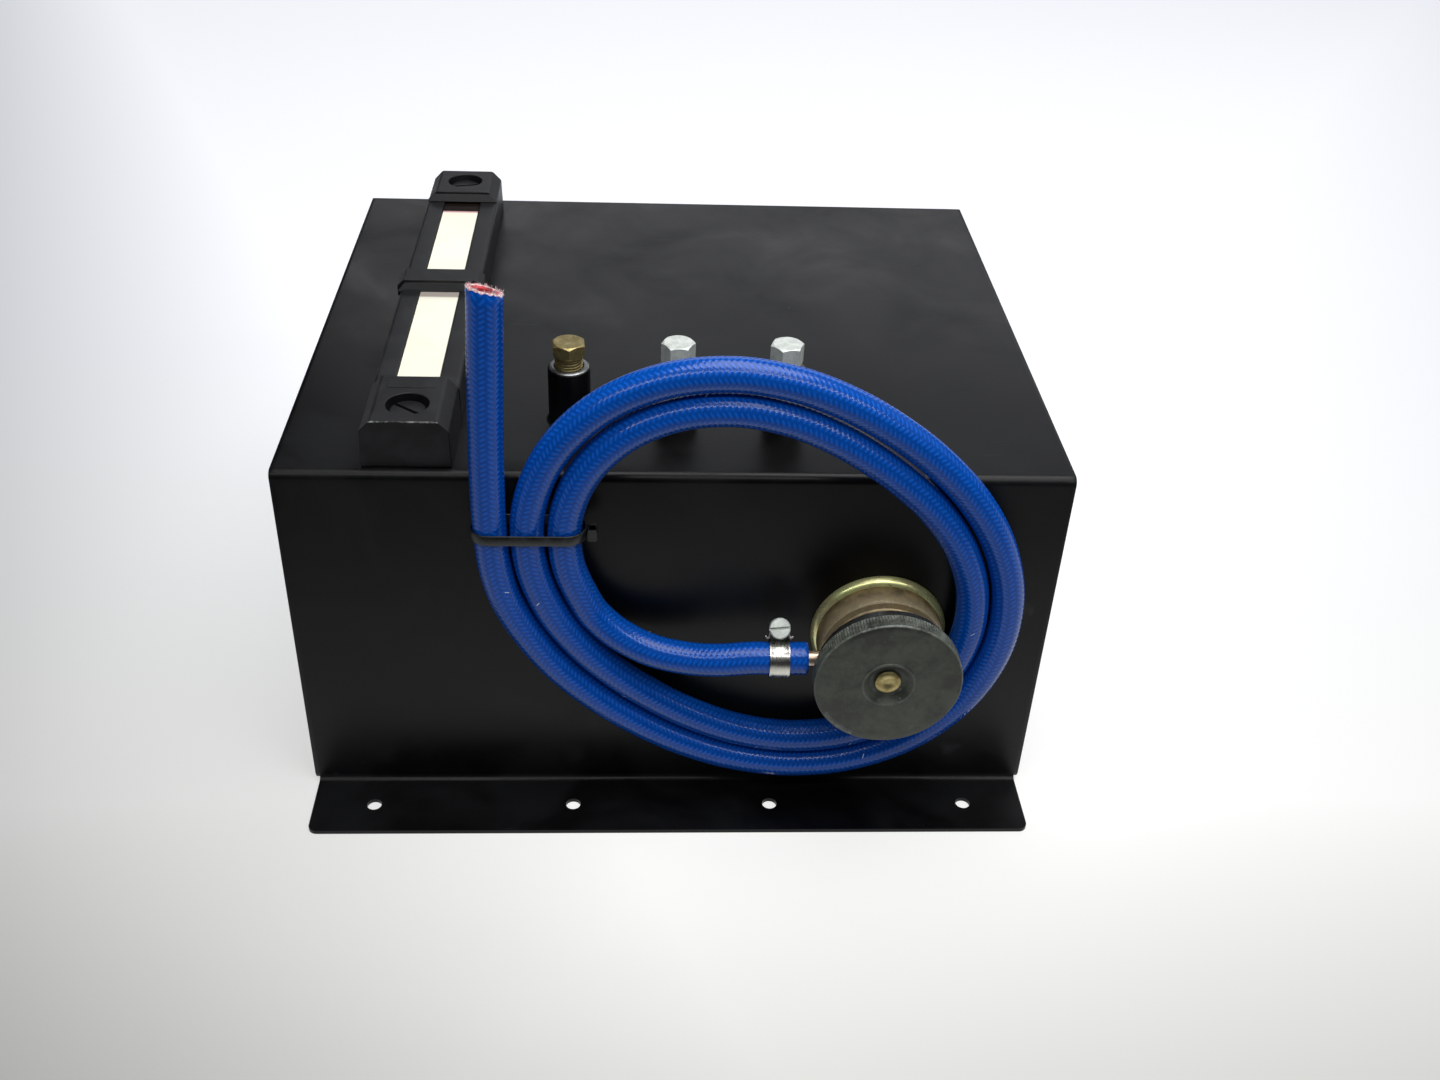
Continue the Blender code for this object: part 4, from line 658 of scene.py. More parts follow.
def block(low, high, radius, axis="Z"):
    """A box with four of its edges, along one axis, rounded."""
    one, two = [index for index in range(3) if "XYZ"[index] != axis]
    corners = [(low[one], low[two]), (high[one], low[two]), (high[one], high[two]), (low[one], high[two])]
    along = "XYZ".index(axis)
    return extruded(rounded(corners, [radius] * 4), axis, low[along], high[along])


def placed(shape, matrix):
    """A shape moved by a matrix."""
    shape.transform(matrix)
    return shape


def joined(shapes):
    """Several shapes in one."""
    whole = bmesh.new()
    for shape in shapes:
        mesh = bpy.data.meshes.new("joined")
        shape.to_mesh(mesh)
        shape.free()
        whole.from_mesh(mesh)
        bpy.data.meshes.remove(mesh)
    return whole


def combined(shape, tool, operation):
    """One shape with another cut from it, added to it or kept in common with it."""
    objects = []
    for name, source in (("work", shape), ("tool", tool)):
        mesh = bpy.data.meshes.new(name)
        source.to_mesh(mesh)
        source.free()
        objects.append(bpy.data.objects.new(name, mesh))
        bpy.context.scene.collection.objects.link(objects[-1])
    work, tool_object = objects
    boolean = work.modifiers.new("combine", "BOOLEAN")
    boolean.operation = operation
    boolean.solver = "EXACT"
    boolean.object = tool_object
    solved = work.evaluated_get(bpy.context.evaluated_depsgraph_get())
    result = bmesh.new()
    result.from_mesh(solved.data)
    for made in objects:
        bpy.data.meshes.remove(made.data)
    return result


def add_piece(name, shape, materials, body, nodes=(), sharp=32.0):
    """Makes a piece of a shape, with its materials, its body and the nodes that it stands for."""
    mesh = bpy.data.meshes.new(name)
    shape.to_mesh(mesh)
    shape.free()
    mesh.shade_smooth()
    mesh.set_sharp_from_angle(angle=math.radians(sharp))
    for material in materials:
        mesh.materials.append(material)
    piece = bpy.data.objects.new(name, mesh)
    bpy.context.scene.collection.objects.link(piece)
    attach(piece, body)
    if nodes:
        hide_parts(*nodes)
    return piece


def soften(piece, width, segments=3, angle=32.0):
    """Rounds a piece's sharp edges."""
    bevel = piece.modifiers.new("edges", "BEVEL")
    bevel.width = width
    bevel.segments = segments
    bevel.limit_method = "ANGLE"
    bevel.angle_limit = math.radians(angle)
    bevel.harden_normals = True


def mark_wear_and_highlights(piece, amount):
    """Stores how rubbed each point is, from 0 to 1, for the material to read; on the cap the same amount also holds
    painted highlights.
    """
    layer = piece.data.attributes.new("wear_and_highlight", "FLOAT", "POINT")
    layer.data.foreach_set("value", [amount(vertex.co) for vertex in piece.data.vertices])


def middle(node_name):
    """The middle of a node's box."""
    low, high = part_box(node_name)
    return (low + high) / 2


def tank_front():
    """The Y of the tank's front face."""
    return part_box("left_end_plate")[0].y


def smooth(points, steps):
    """A smooth curve through points."""
    points = [2 * points[0] - points[1], *points, 2 * points[-1] - points[-2]]
    curve = []
    for index in range(1, len(points) - 2):
        before, start, end, after = points[index - 1 : index + 3]
        for step in range(steps):
            t = step / steps
            bend = (end - before) * t
            bend += (2 * before - 5 * start + 4 * end - after) * t**2
            bend += (3 * start - before - 3 * end + after) * t**3
            curve.append(start + bend / 2)
    curve.append(points[-2])
    return curve


def evenly(points, spacing):
    """The same curve with its points an even distance apart."""
    along = [0.0]
    for before, after in zip(points, points[1:]):
        along.append(along[-1] + (after - before).length)
    count = round(along[-1] / spacing)
    even = []
    index = 0
    for step in range(count + 1):
        wanted = along[-1] * step / count
        while index < len(points) - 2 and along[index + 1] < wanted:
            index += 1
        share = (wanted - along[index]) / (along[index + 1] - along[index])
        even.append(points[index].lerp(points[index + 1], share))
    return even


def crossways(points):
    """Two directions across a curve at each of its points, turning as little as they can."""
    directions = []
    for index in range(len(points)):
        ahead = points[min(index + 1, len(points) - 1)]
        directions.append((ahead - points[max(index - 1, 0)]).normalized())
    side = directions[0].orthogonal()
    pairs = []
    for direction in directions:
        side = (side - direction * side.dot(direction)).normalized()
        pairs.append((side.copy(), direction.cross(side)))
    return pairs


def hose_path():
    """The hose's route: straight off the spigot, two turns of an oval coil, and up to its cut end."""
    front = tank_front()
    route = [(0.0598, 0.0210, 0.0960), (0.0460, 0.0210, 0.0960), (0.0340, 0.0210, 0.0960)]
    route += [(0.0200, 0.0207, 0.0946), (0.0060, 0.0186, 0.0938), (-0.0100, 0.0157, 0.0958)]
    route += [(-0.0240, 0.0125, 0.1015), (-0.0340, 0.0103, 0.1095)]
    for step in range(49):
        turn = step / 24
        angle = math.radians(190.0 - 360.0 * turn)
        radius = 0.0818 + 0.0165 * turn + 0.0120 * math.cos(2 * (angle - math.radians(141.5)))
        route.append((0.0388 + radius * math.cos(angle), 0.0095, 0.1328 + radius * math.sin(angle)))
    route += [(-0.0792, 0.0095, 0.1340), (-0.0812, 0.0095, 0.1570), (-0.0812, 0.0095, 0.1840)]
    route += [(-0.0803, 0.0095, 0.2130), (-0.0790, 0.0095, 0.2420), (-0.0776, 0.0095, 0.2710)]
    points = [Vector((across, front - outward, height)) for across, outward, height in route]
    return evenly(smooth(points, 10), HOSE_STEP)


class RESERVOIR_OT_stage(bpy.types.Operator):
    """Sets the camera, the floor, the lamps and the light all round"""

    bl_idname = "reservoir.stage"
    bl_label = "Stage"

    def execute(self, context):
        stage = context.scene.reservoir.stage
        context.scene.view_settings.view_transform = "Standard"
        self.add_camera(context, stage)
        self.add_floor(context)
        self.add_lamp(context, "overhead_lamp", (0.25, -0.10, 1.55), (0.0, 0.0, 0.1), 1.3, 1.1, stage.overhead)
        self.add_lamp(context, "rear_lamp", (0.35, 1.50, 0.80), (0.0, 0.0, 0.15), 2.0, 0.5, stage.behind)
        self.add_lamp(context, "front_tubes", (0.05, -1.05, 1.36), (0.0, -0.15, 0.15), 3.2, 0.07, stage.front)
        self.light_all_round(context, stage)
        return {"FINISHED"}

    def add_camera(self, context, stage):
        camera = bpy.data.cameras.new("camera")
        camera.lens = stage.lens
        camera.sensor_width = SENSOR_WIDTH
        camera.clip_start = 0.01
        holder = bpy.data.objects.new("camera", camera)
        turn = Matrix.Rotation(math.radians(CAMERA_TURN), 4, "Z")
        tilt = Matrix.Rotation(math.radians(90.0 - CAMERA_TILT), 4, "X")
        roll = Matrix.Rotation(math.radians(CAMERA_ROLL), 4, "Z")
        holder.matrix_world = Matrix.Translation(CAMERA_PLACE) @ turn @ tilt @ roll
        context.scene.collection.objects.link(holder)
        context.scene.camera = holder

    def add_floor(self, context):
        mesh = bpy.data.meshes.new("floor")
        sides = ((-1.0, -1.0), (1.0, -1.0), (1.0, 1.0), (-1.0, 1.0))
        corners = [(FLOOR_REACH * across, FLOOR_REACH * along, -FLOOR_DROP) for across, along in sides]
        mesh.from_pydata(corners, [], [(0, 1, 2, 3)])
        mesh.materials.append(white_floor_laminate())
        floor = bpy.data.objects.new("floor", mesh)
        context.scene.collection.objects.link(floor)

    def add_lamp(self, context, name, place, target, width, height, power):
        lamp = bpy.data.lights.new(name, "AREA")
        lamp.shape = "RECTANGLE"
        lamp.size = width
        lamp.size_y = height
        lamp.energy = power
        holder = bpy.data.objects.new(name, lamp)
        aim = (Vector(target) - Vector(place)).to_track_quat("-Z", "Y").to_matrix().to_4x4()
        holder.matrix_world = Matrix.Translation(place) @ aim
        context.scene.collection.objects.link(holder)

    def light_all_round(self, context, stage):
        world = bpy.data.worlds.new("studio")
        world.use_nodes = True
        tree = world.node_tree
        split = node(tree, "SeparateXYZ", {0: node(tree, "TexCoord", out="Generated")})
        horizon = node(tree, "MapRange", {0: split.node.outputs["Z"], 1: 0.25, 2: 0.46, 3: 0.1, 4: 1.0})
        ceiling = node(tree, "MapRange", {0: split.node.outputs["Z"], 1: 0.42, 2: 0.58, 3: 1.0, 4: 0.15})
        behind_camera = node(tree, "MapRange", {0: split.node.outputs["Y"], 1: -0.6, 2: 0.2, 3: 0.2, 4: 1.0})
        shade = node(tree, "Math", {0: horizon, 1: ceiling}, operation="MULTIPLY")
        shade = node(tree, "Math", {0: shade, 1: behind_camera}, operation="MULTIPLY")
        left = node(tree, "MapRange", {0: split, 1: -0.30, 2: 0.0, 3: 0.1, 4: 1.0})
        shade = node(tree, "Math", {0: shade, 1: left}, operation="MULTIPLY")
        shade = node(tree, "Math", {0: shade, 1: stage.mirrored}, operation="MULTIPLY")
        level = node(tree, "MapRange", {0: background_rays(tree), 3: stage.ambient, 4: shade})
        backdrop = node(tree, "LightPath", out="Is Camera Ray")
        level = node(tree, "Mix", {0: backdrop, 2: level, 3: 0.95})
        node(tree, "Background", {"Color": linear("#e8effc"), "Strength": level})
        context.scene.world = world


class RESERVOIR_OT_clamp(bpy.types.Operator):
    """Makes the worm drive clamp: its band, its folded housing and its slotted screw"""

    bl_idname = "reservoir.clamp"
    bl_label = "Hose clamp"

    def execute(self, context):
        steel = rolled_stainless_strip()
        joint = next(joint for joint in frame["joints"] if joint["name"] == "clamp_screw_turn")
        axis = Vector(joint["axis"])
        tilt = Matrix.Rotation(-math.atan2(axis.z, -axis.y), 4, "X")
        centre = middle("clamp_band")
        seat = Matrix.Translation(centre) @ tilt
        low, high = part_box("clamp_band")
        outside = (high.z - low.z) / 2
        half = (high.x - low.x) / 2
        strip = 0.0007
        inside, rolled_edge = outside - strip, outside + 0.0003
        band = [(inside, -half), (rolled_edge, -half), (rolled_edge, -half + 0.0006), (outside, -half + 0.0012)]
        band += [(outside, half - 0.0012), (rolled_edge, half - 0.0006), (rolled_edge, half), (inside, half)]
        band = placed(lathe(band), seat @ Matrix.Rotation(math.pi / 2, 4, "Y"))
        add_piece("hose_clamp_band", band, [steel], "tank", ["clamp_band"])

        height = (Vector(joint["pos_m"]) - centre).length
        sheet = [Vector((-0.0062, outside + 0.0016)), Vector((-0.0056, outside + 0.0007))]
        sheet += [Vector((-0.0046, outside + 0.0010)), Vector((-0.0042, height - 0.0012))]
        for step in range(13):
            angle = math.radians(180.0 - 180.0 * step / 12)
            sheet.append(Vector((0.0042 * math.cos(angle), height + 0.0042 * math.sin(angle))))
        sheet += [Vector((-point.x, point.y)) for point in reversed(sheet[:4])]
        sheet = smooth(sheet, 3)
        half_sheet, half_length = 0.00042, 0.005
        outer, inner = [], []
        for index, point in enumerate(sheet):
            run = sheet[min(index + 1, len(sheet) - 1)] - sheet[max(index - 1, 0)]
            across = Vector((-run.y, run.x)).normalized() * half_sheet
            outer.append(tuple(point + across))
            inner.append(tuple(point - across))
        housing = placed(extruded(outer + inner[::-1], "Y", -half_length, half_length), seat)
        housing = add_piece("hose_clamp_housing", housing, [steel], "tank", ["clamp_housing"])
        soften(housing, 0.00015, 2, 50.0)

        tip, pitch, turns, root, crest, head = -0.0097, 0.0016, 9, 0.0028, 0.0033, 0.0053
        thread = []
        for turn in range(turns):
            base = tip + 0.0002 + turn * pitch
            thread += [(root, base), (crest, base + 0.0004), (crest, base + 0.0008), (root, base + 0.0012)]
        screw = [(0.0, tip), (0.0024, tip), *thread, (root, head), (0.0045, head)]
        screw += [(0.0048, head + 0.0004), (0.0048, head + 0.0024), (0.0043, head + 0.0030), (0.0, head + 0.0031)]
        screw = lathe(screw, 64)
        slot = block((-0.01, -0.0006, head + 0.0008), (0.01, 0.0006, head + 0.004), 0.0002)
        screw = combined(screw, placed(slot, Matrix.Rotation(math.radians(5.0), 4, "Z")), "DIFFERENCE")
        along = Matrix.Translation((0.0, 0.0, height)) @ Matrix.Rotation(math.pi / 2, 4, "X")
        screw = placed(screw, seat @ along)
        zinc = zinc_plated_steel()
        screw = add_piece("hose_clamp_screw", screw, [zinc], "clamp_screw", ["clamp_screw"])
        soften(screw, 0.00012, 2, 50.0)
        return {"FINISHED"}


class RESERVOIR_OT_tie(bpy.types.Operator):
    """Makes the nylon tie round the hose's strands"""

    bl_idname = "reservoir.tie"
    bl_label = "Cable tie"

    def execute(self, context):
        nylon = moulded_tie_nylon()
        hose = context.scene.reservoir.hose
        low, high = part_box("cable_tie")
        thick, width, raised, head_width = 0.0011, 0.0050, 0.0012, 0.0042
        inside = (high.y - low.y) / 2 - thick
        if inside < hose.diameter / 2:
            raise ValueError("the tie is smaller than the hose")
        strand_y, mid_z = (low.y + high.y) / 2, (low.z + high.z) / 2
        left = low.x + inside + thick
        right = high.x - head_width - inside - thick
        base = (low.z + high.z - width) / 2 + raised
        section = [(0.0, 0.0004), (0.0, width - 0.0004), (0.0003, width), (thick - 0.0003, width)]
        section += [(thick, width - 0.0007), (thick, 0.0007), (thick - 0.0003, 0.0), (0.0003, 0.0)]
        rings = []
        for centre, start in ((right, -90.0), (left, 90.0)):
            for step in range(25):
                angle = math.radians(start + 180.0 * step / 24)
                spoke = (math.cos(angle), math.sin(angle))
                rings.append([])
                for out, up in section:
                    reach = inside + out
                    rings[-1].append((centre + reach * spoke[0], strand_y + reach * spoke[1], base + up))
        strap = skin(rings, closed=True)
        head_low = (high.x - head_width, strand_y - 0.0060, mid_z - 0.0006)
        head_high = (high.x, strand_y, mid_z + 0.0050)
        head = block(head_low, head_high, 0.0009, "Y")
        pawl_low = (high.x - 0.0032, strand_y - 0.0048, mid_z + 0.0040)
        pawl_high = (high.x - 0.0010, strand_y - 0.0020, mid_z + 0.0060)
        head = combined(head, block(pawl_low, pawl_high, 0.0004), "DIFFERENCE")
        whole = joined([strap, head])
        tie = add_piece("strand_tie", whole, [nylon], "tank", ["cable_tie"])
        soften(tie, 0.00025, 2, 50.0)
        return {"FINISHED"}


class RESERVOIR_OT_hose(bpy.types.Operator):
    """Lays the braided overflow hose along its route, with its cut end"""

    bl_idname = "reservoir.hose"
    bl_label = "Overflow hose"

    def execute(self, context):
        hose = context.scene.reservoir.hose
        path = hose_path()
        across = crossways(path)
        sides = HOSE_SIDES
        outer, bore = hose.diameter / 2, hose.bore / 2
        chance = random.Random(4)
        rings, along, kinds = [], [], []

        def add_ring(index, radius, shift, kind, ragged=0.0, slope=Vector()):
            side, up = across[index]
            ahead = side.cross(up)
            rings.append([])
            for step in range(sides):
                angle = 2 * math.pi * step / sides
                spoke = side * math.cos(angle) + up * math.sin(angle)
                drift = shift + chance.uniform(-ragged, ragged) + spoke.dot(slope) * radius
                rings[-1].append(path[index] + spoke * radius + ahead * drift)
            along.append(index * HOSE_STEP + shift)
            kinds.append(kind)

        last = len(path) - 1
        silicone, liner, fibre = range(3)
        bore_depth = 0.020
        add_ring(0, bore, bore_depth, liner)
        add_ring(0, bore, 0.0002, silicone)
        add_ring(0, outer - 0.0005, 0.0, silicone)
        add_ring(0, outer, 0.0006, silicone)
        for index in range(1, last - 1):
            add_ring(index, outer, 0.0, silicone)
        add_ring(last, outer + 0.0001, -0.0006, fibre, 0.0005, HOSE_CUT)
        add_ring(last, outer - 0.0005, 0.0, fibre, 0.0007, HOSE_CUT)
        add_ring(last, bore + 0.0016, -0.0001, liner, 0.0005, HOSE_CUT)
        add_ring(last, bore, -0.0006, liner, 0.0, HOSE_CUT)
        add_ring(last, bore, -bore_depth, liner)
        shape = skin(rings)
        shape.verts.index_update()
        layer = shape.loops.layers.uv.new("along")
        for face in shape.faces:
            spots = [divmod(loop.vert.index, sides) for loop in face.loops]
            steps = [step for row, step in spots]
            wraps = max(steps) - min(steps) > sides / 2
            face.material_index = kinds[min(row for row, step in spots)]
            for loop, (row, step) in zip(face.loops, spots):
                turned_on = step + sides if wraps and step < sides / 2 else step
                loop[layer].uv = (turned_on / sides, along[row])
        surfaces = [braided_blue_silicone(), red_silicone_liner(), cut_polyester_fibre()]
        nodes = ["overflow_hose_lead", "overflow_hose_coil", "overflow_hose_tail"]
        piece = add_piece("overflow_hose", shape, surfaces, "tank", nodes, sharp=60.0)

        side, up = across[last]
        ahead = side.cross(up)
        rooted = 0.0008
        tufts = []
        for index in range(CUT_FIBRES):
            angle = chance.uniform(0.0, 2 * math.pi)
            radius = chance.uniform(bore + 0.0009, outer - 0.0002)
            spoke = side * math.cos(angle) + up * math.sin(angle)
            lean = spoke * chance.uniform(-0.4, 0.9) + spoke.cross(ahead) * chance.uniform(-0.8, 0.8)
            reach = chance.uniform(0.0004, 0.0017)
            foot = path[-1] + spoke * radius + ahead * (spoke.dot(HOSE_CUT) * radius - rooted)
            tip = foot + (ahead + lean * 0.7).normalized() * (reach + rooted)
            bend = foot.lerp(tip, 0.5) + ahead * reach * 0.2
            thin = chance.uniform(0.00007, 0.00013)
            rows = ((foot, thin), (bend, thin), (tip, thin * 0.5))
            tufts.append(skin([circle(point, side, up, width, 4) for point, width in rows]))
        fibres = add_piece("hose_end_fibres", joined(tufts), [cut_polyester_fibre()], "tank")

        return {"FINISHED"}


class RESERVOIR_OT_tank(bpy.types.Operator):
    """Folds the tank's sheet, cuts its holes, and sets its end plates"""

    bl_idname = "reservoir.tank"
    bl_label = "Tank"

    def execute(self, context):
        tank = context.scene.reservoir.tank
        enamel = stoved_black_enamel()
        low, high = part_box("tank_wrapper")
        plate_low, plate_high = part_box("left_end_plate")
        sheet = plate_high.x - plate_low.x
        front, back, top = plate_low.y, plate_high.y, high.z
        inner_foot, inner_top = tank.foot_bend + sheet, tank.top_bend - sheet
        corners = [(low.y, 0.0), (front + sheet, 0.0), (front + sheet, top - sheet), (back - sheet, top - sheet)]
        corners += [(back - sheet, 0.0), (high.y, 0.0), (high.y, sheet), (back, sheet)]
        corners += [(back, top), (front, top), (front, sheet), (low.y, sheet)]
        radii = [0.0, inner_foot, inner_top, inner_top, inner_foot, 0.0]
        radii += [0.0, tank.foot_bend, tank.top_bend, tank.top_bend, tank.foot_bend, 0.0]
        shape = extruded(rounded(corners, radii, 8), "X", low.x, high.x)
        plan_low, plan_high = (low.x, low.y, -CUTTER_REACH), (high.x, high.y, top + CUTTER_REACH)
        plan = block(plan_low, plan_high, tank.flange_corner)
        shape = combined(shape, plan, "INTERSECT")
        cuts = []
        for hole_y in (low.y + HOLE_INSET, high.y - HOLE_INSET):
            for step in range(FLANGE_HOLES):
                spot = (FIRST_HOLE + HOLE_SPACING * step, hole_y, 0.0)
                cuts.append((tank.flange_hole / 2, 40, Matrix.Translation(spot)))
        for side in ("left", "middle", "right"):
            boss_low, boss_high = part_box(f"{side}_port_boss")
            spot = middle(f"{side}_port_boss")
            reach = (boss_high.x - boss_low.x) / 2 + ROOM
            cuts.append((reach, 48, Matrix.Translation((spot.x, spot.y, top))))
        for end in ("front", "rear"):
            spot = middle(f"gauge_{end}_bolt")
            cuts.append((0.0060 + ROOM, 40, Matrix.Translation((spot.x, spot.y, top))))
        cuts.append((FILLER_BORE, 96, filler_seat()))
        tools = [placed(rod(radius, -CUTTER_REACH, CUTTER_REACH, steps), seat) for radius, steps, seat in cuts]
        shape = combined(shape, joined(tools), "DIFFERENCE")
        wrapper = add_piece("tank_sheet", shape, [enamel], "tank", ["tank_wrapper"])
        soften(wrapper, 0.00015, 2, 50.0)
        for side in ("left", "right"):
            plate_low, plate_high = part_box(f"{side}_end_plate")
            inner, outer = (low.x, plate_low.x) if side == "left" else (high.x, plate_high.x)
            out = 1.0 if outer > inner else -1.0
            rings = []
            for depth, inset in ((abs(outer - inner), 0.0), (0.0006, 0.0), (0.0002, 0.0002), (0.0, 0.0006)):
                across = outer - out * depth
                near, far, upper = plate_low.y + inset, plate_high.y - inset, plate_high.z - inset
                corners = [(near, plate_low.z), (far, plate_low.z), (far, upper), (near, upper)]
                outline = rounded(corners, [0.005, 0.005, 0.004 - inset, 0.004 - inset])
                rings.append([(across, *point) for point in outline])
            plate = skin(rings)
            add_piece(f"tank_{side}_end", plate, [enamel], "tank", [f"{side}_end_plate"])
        return {"FINISHED"}


class RESERVOIR_OT_ports(bpy.types.Operator):
    """Makes the three bosses on the top and their hexagon plugs"""

    bl_idname = "reservoir.ports"
    bl_label = "Ports and plugs"

    def execute(self, context):
        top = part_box("tank_wrapper")[1].z
        for side, turn in (("left", 4.5), ("middle", 32.4), ("right", 40.0)):
            low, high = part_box(f"{side}_port_boss")
            radius = (high.x - low.x) / 2
            bore = 0.0066
            spot = middle(f"{side}_port_boss")
            section = [(bore, low.z), (radius, low.z), (radius, top), (radius + 0.0011, top + 0.0001)]
            section += [(radius + 0.0004, top + 0.0005), (radius, top + 0.0013), (radius, high.z - 0.0010)]
            section += [(radius - 0.0004, high.z - 0.0005), (radius - 0.0014, high.z)]
            section += [(bore + 0.0003, high.z), (bore, high.z - 0.0003)]
            boss = lathe(section, 72)
            for face in boss.faces:
                if face.calc_center_median().z > high.z - 0.0004:
                    face.material_index = 1
            boss = placed(boss, Matrix.Translation((spot.x, spot.y, 0.0)))
            surfaces = [stoved_black_enamel(), turned_bare_steel()]
            add_piece(f"{side}_boss", boss, surfaces, "tank", [f"{side}_port_boss"])
            self.add_plug(side, turn, spot)
        return {"FINISHED"}

    def add_plug(self, side, turn, spot):
        """A hexagon plug, its crown turned to a cone, over its thread."""
        low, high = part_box(f"{side}_port_plug")
        brass = side == "left"
        across, head, stem = (0.0140, 0.0065, 0.0063) if brass else (0.0134, 0.0100, 0.0062)
        base = high.z - head
        flat = 0.475 * across
        under_cone = 2.2 if brass else 0.4
        rings = [[], [], [], []]
        for step in range(72):
            angle = 2 * math.pi * step / 72
            off_flat = (angle + math.pi / 6) % (math.pi / 3) - math.pi / 6
            reach = across / 2 / math.cos(off_flat)
            drop = (reach - flat) * math.tan(math.radians(30.0))
            spoke = (math.cos(angle), math.sin(angle))
            places = [(flat, base), (reach, base + drop * under_cone), (reach, high.z - drop), (flat, high.z)]
            for ring, (out, height) in zip(rings, places):
                ring.append((out * spoke[0], out * spoke[1], height))
        plug = skin(rings)
        thread = [(0.0, low.z)]
        pitch = 0.0014
        for turn_index in range(int((base - low.z) / pitch)):
            foot = low.z + turn_index * pitch
            thread += [(stem - 0.0008, foot + 0.0001), (stem, foot + 0.0005)]
            thread += [(stem, foot + 0.0009), (stem - 0.0008, foot + 0.0013)]
        thread += [(stem - 0.0006, base + 0.001), (0.0, base + 0.001)]
        plug = combined(plug, lathe(thread, 48), "UNION")
        turned_on = Matrix.Rotation(math.radians(turn), 4, "Z")
        plug = placed(plug, Matrix.Translation((spot.x, spot.y, 0.0)) @ turned_on)
        surface = aged_brass() if brass else zinc_plated_steel()
        plug = add_piece(f"{side}_plug", plug, [surface], "tank", [f"{side}_port_plug"], sharp=24.0)
        soften(plug, 0.0002, 2, 40.0)


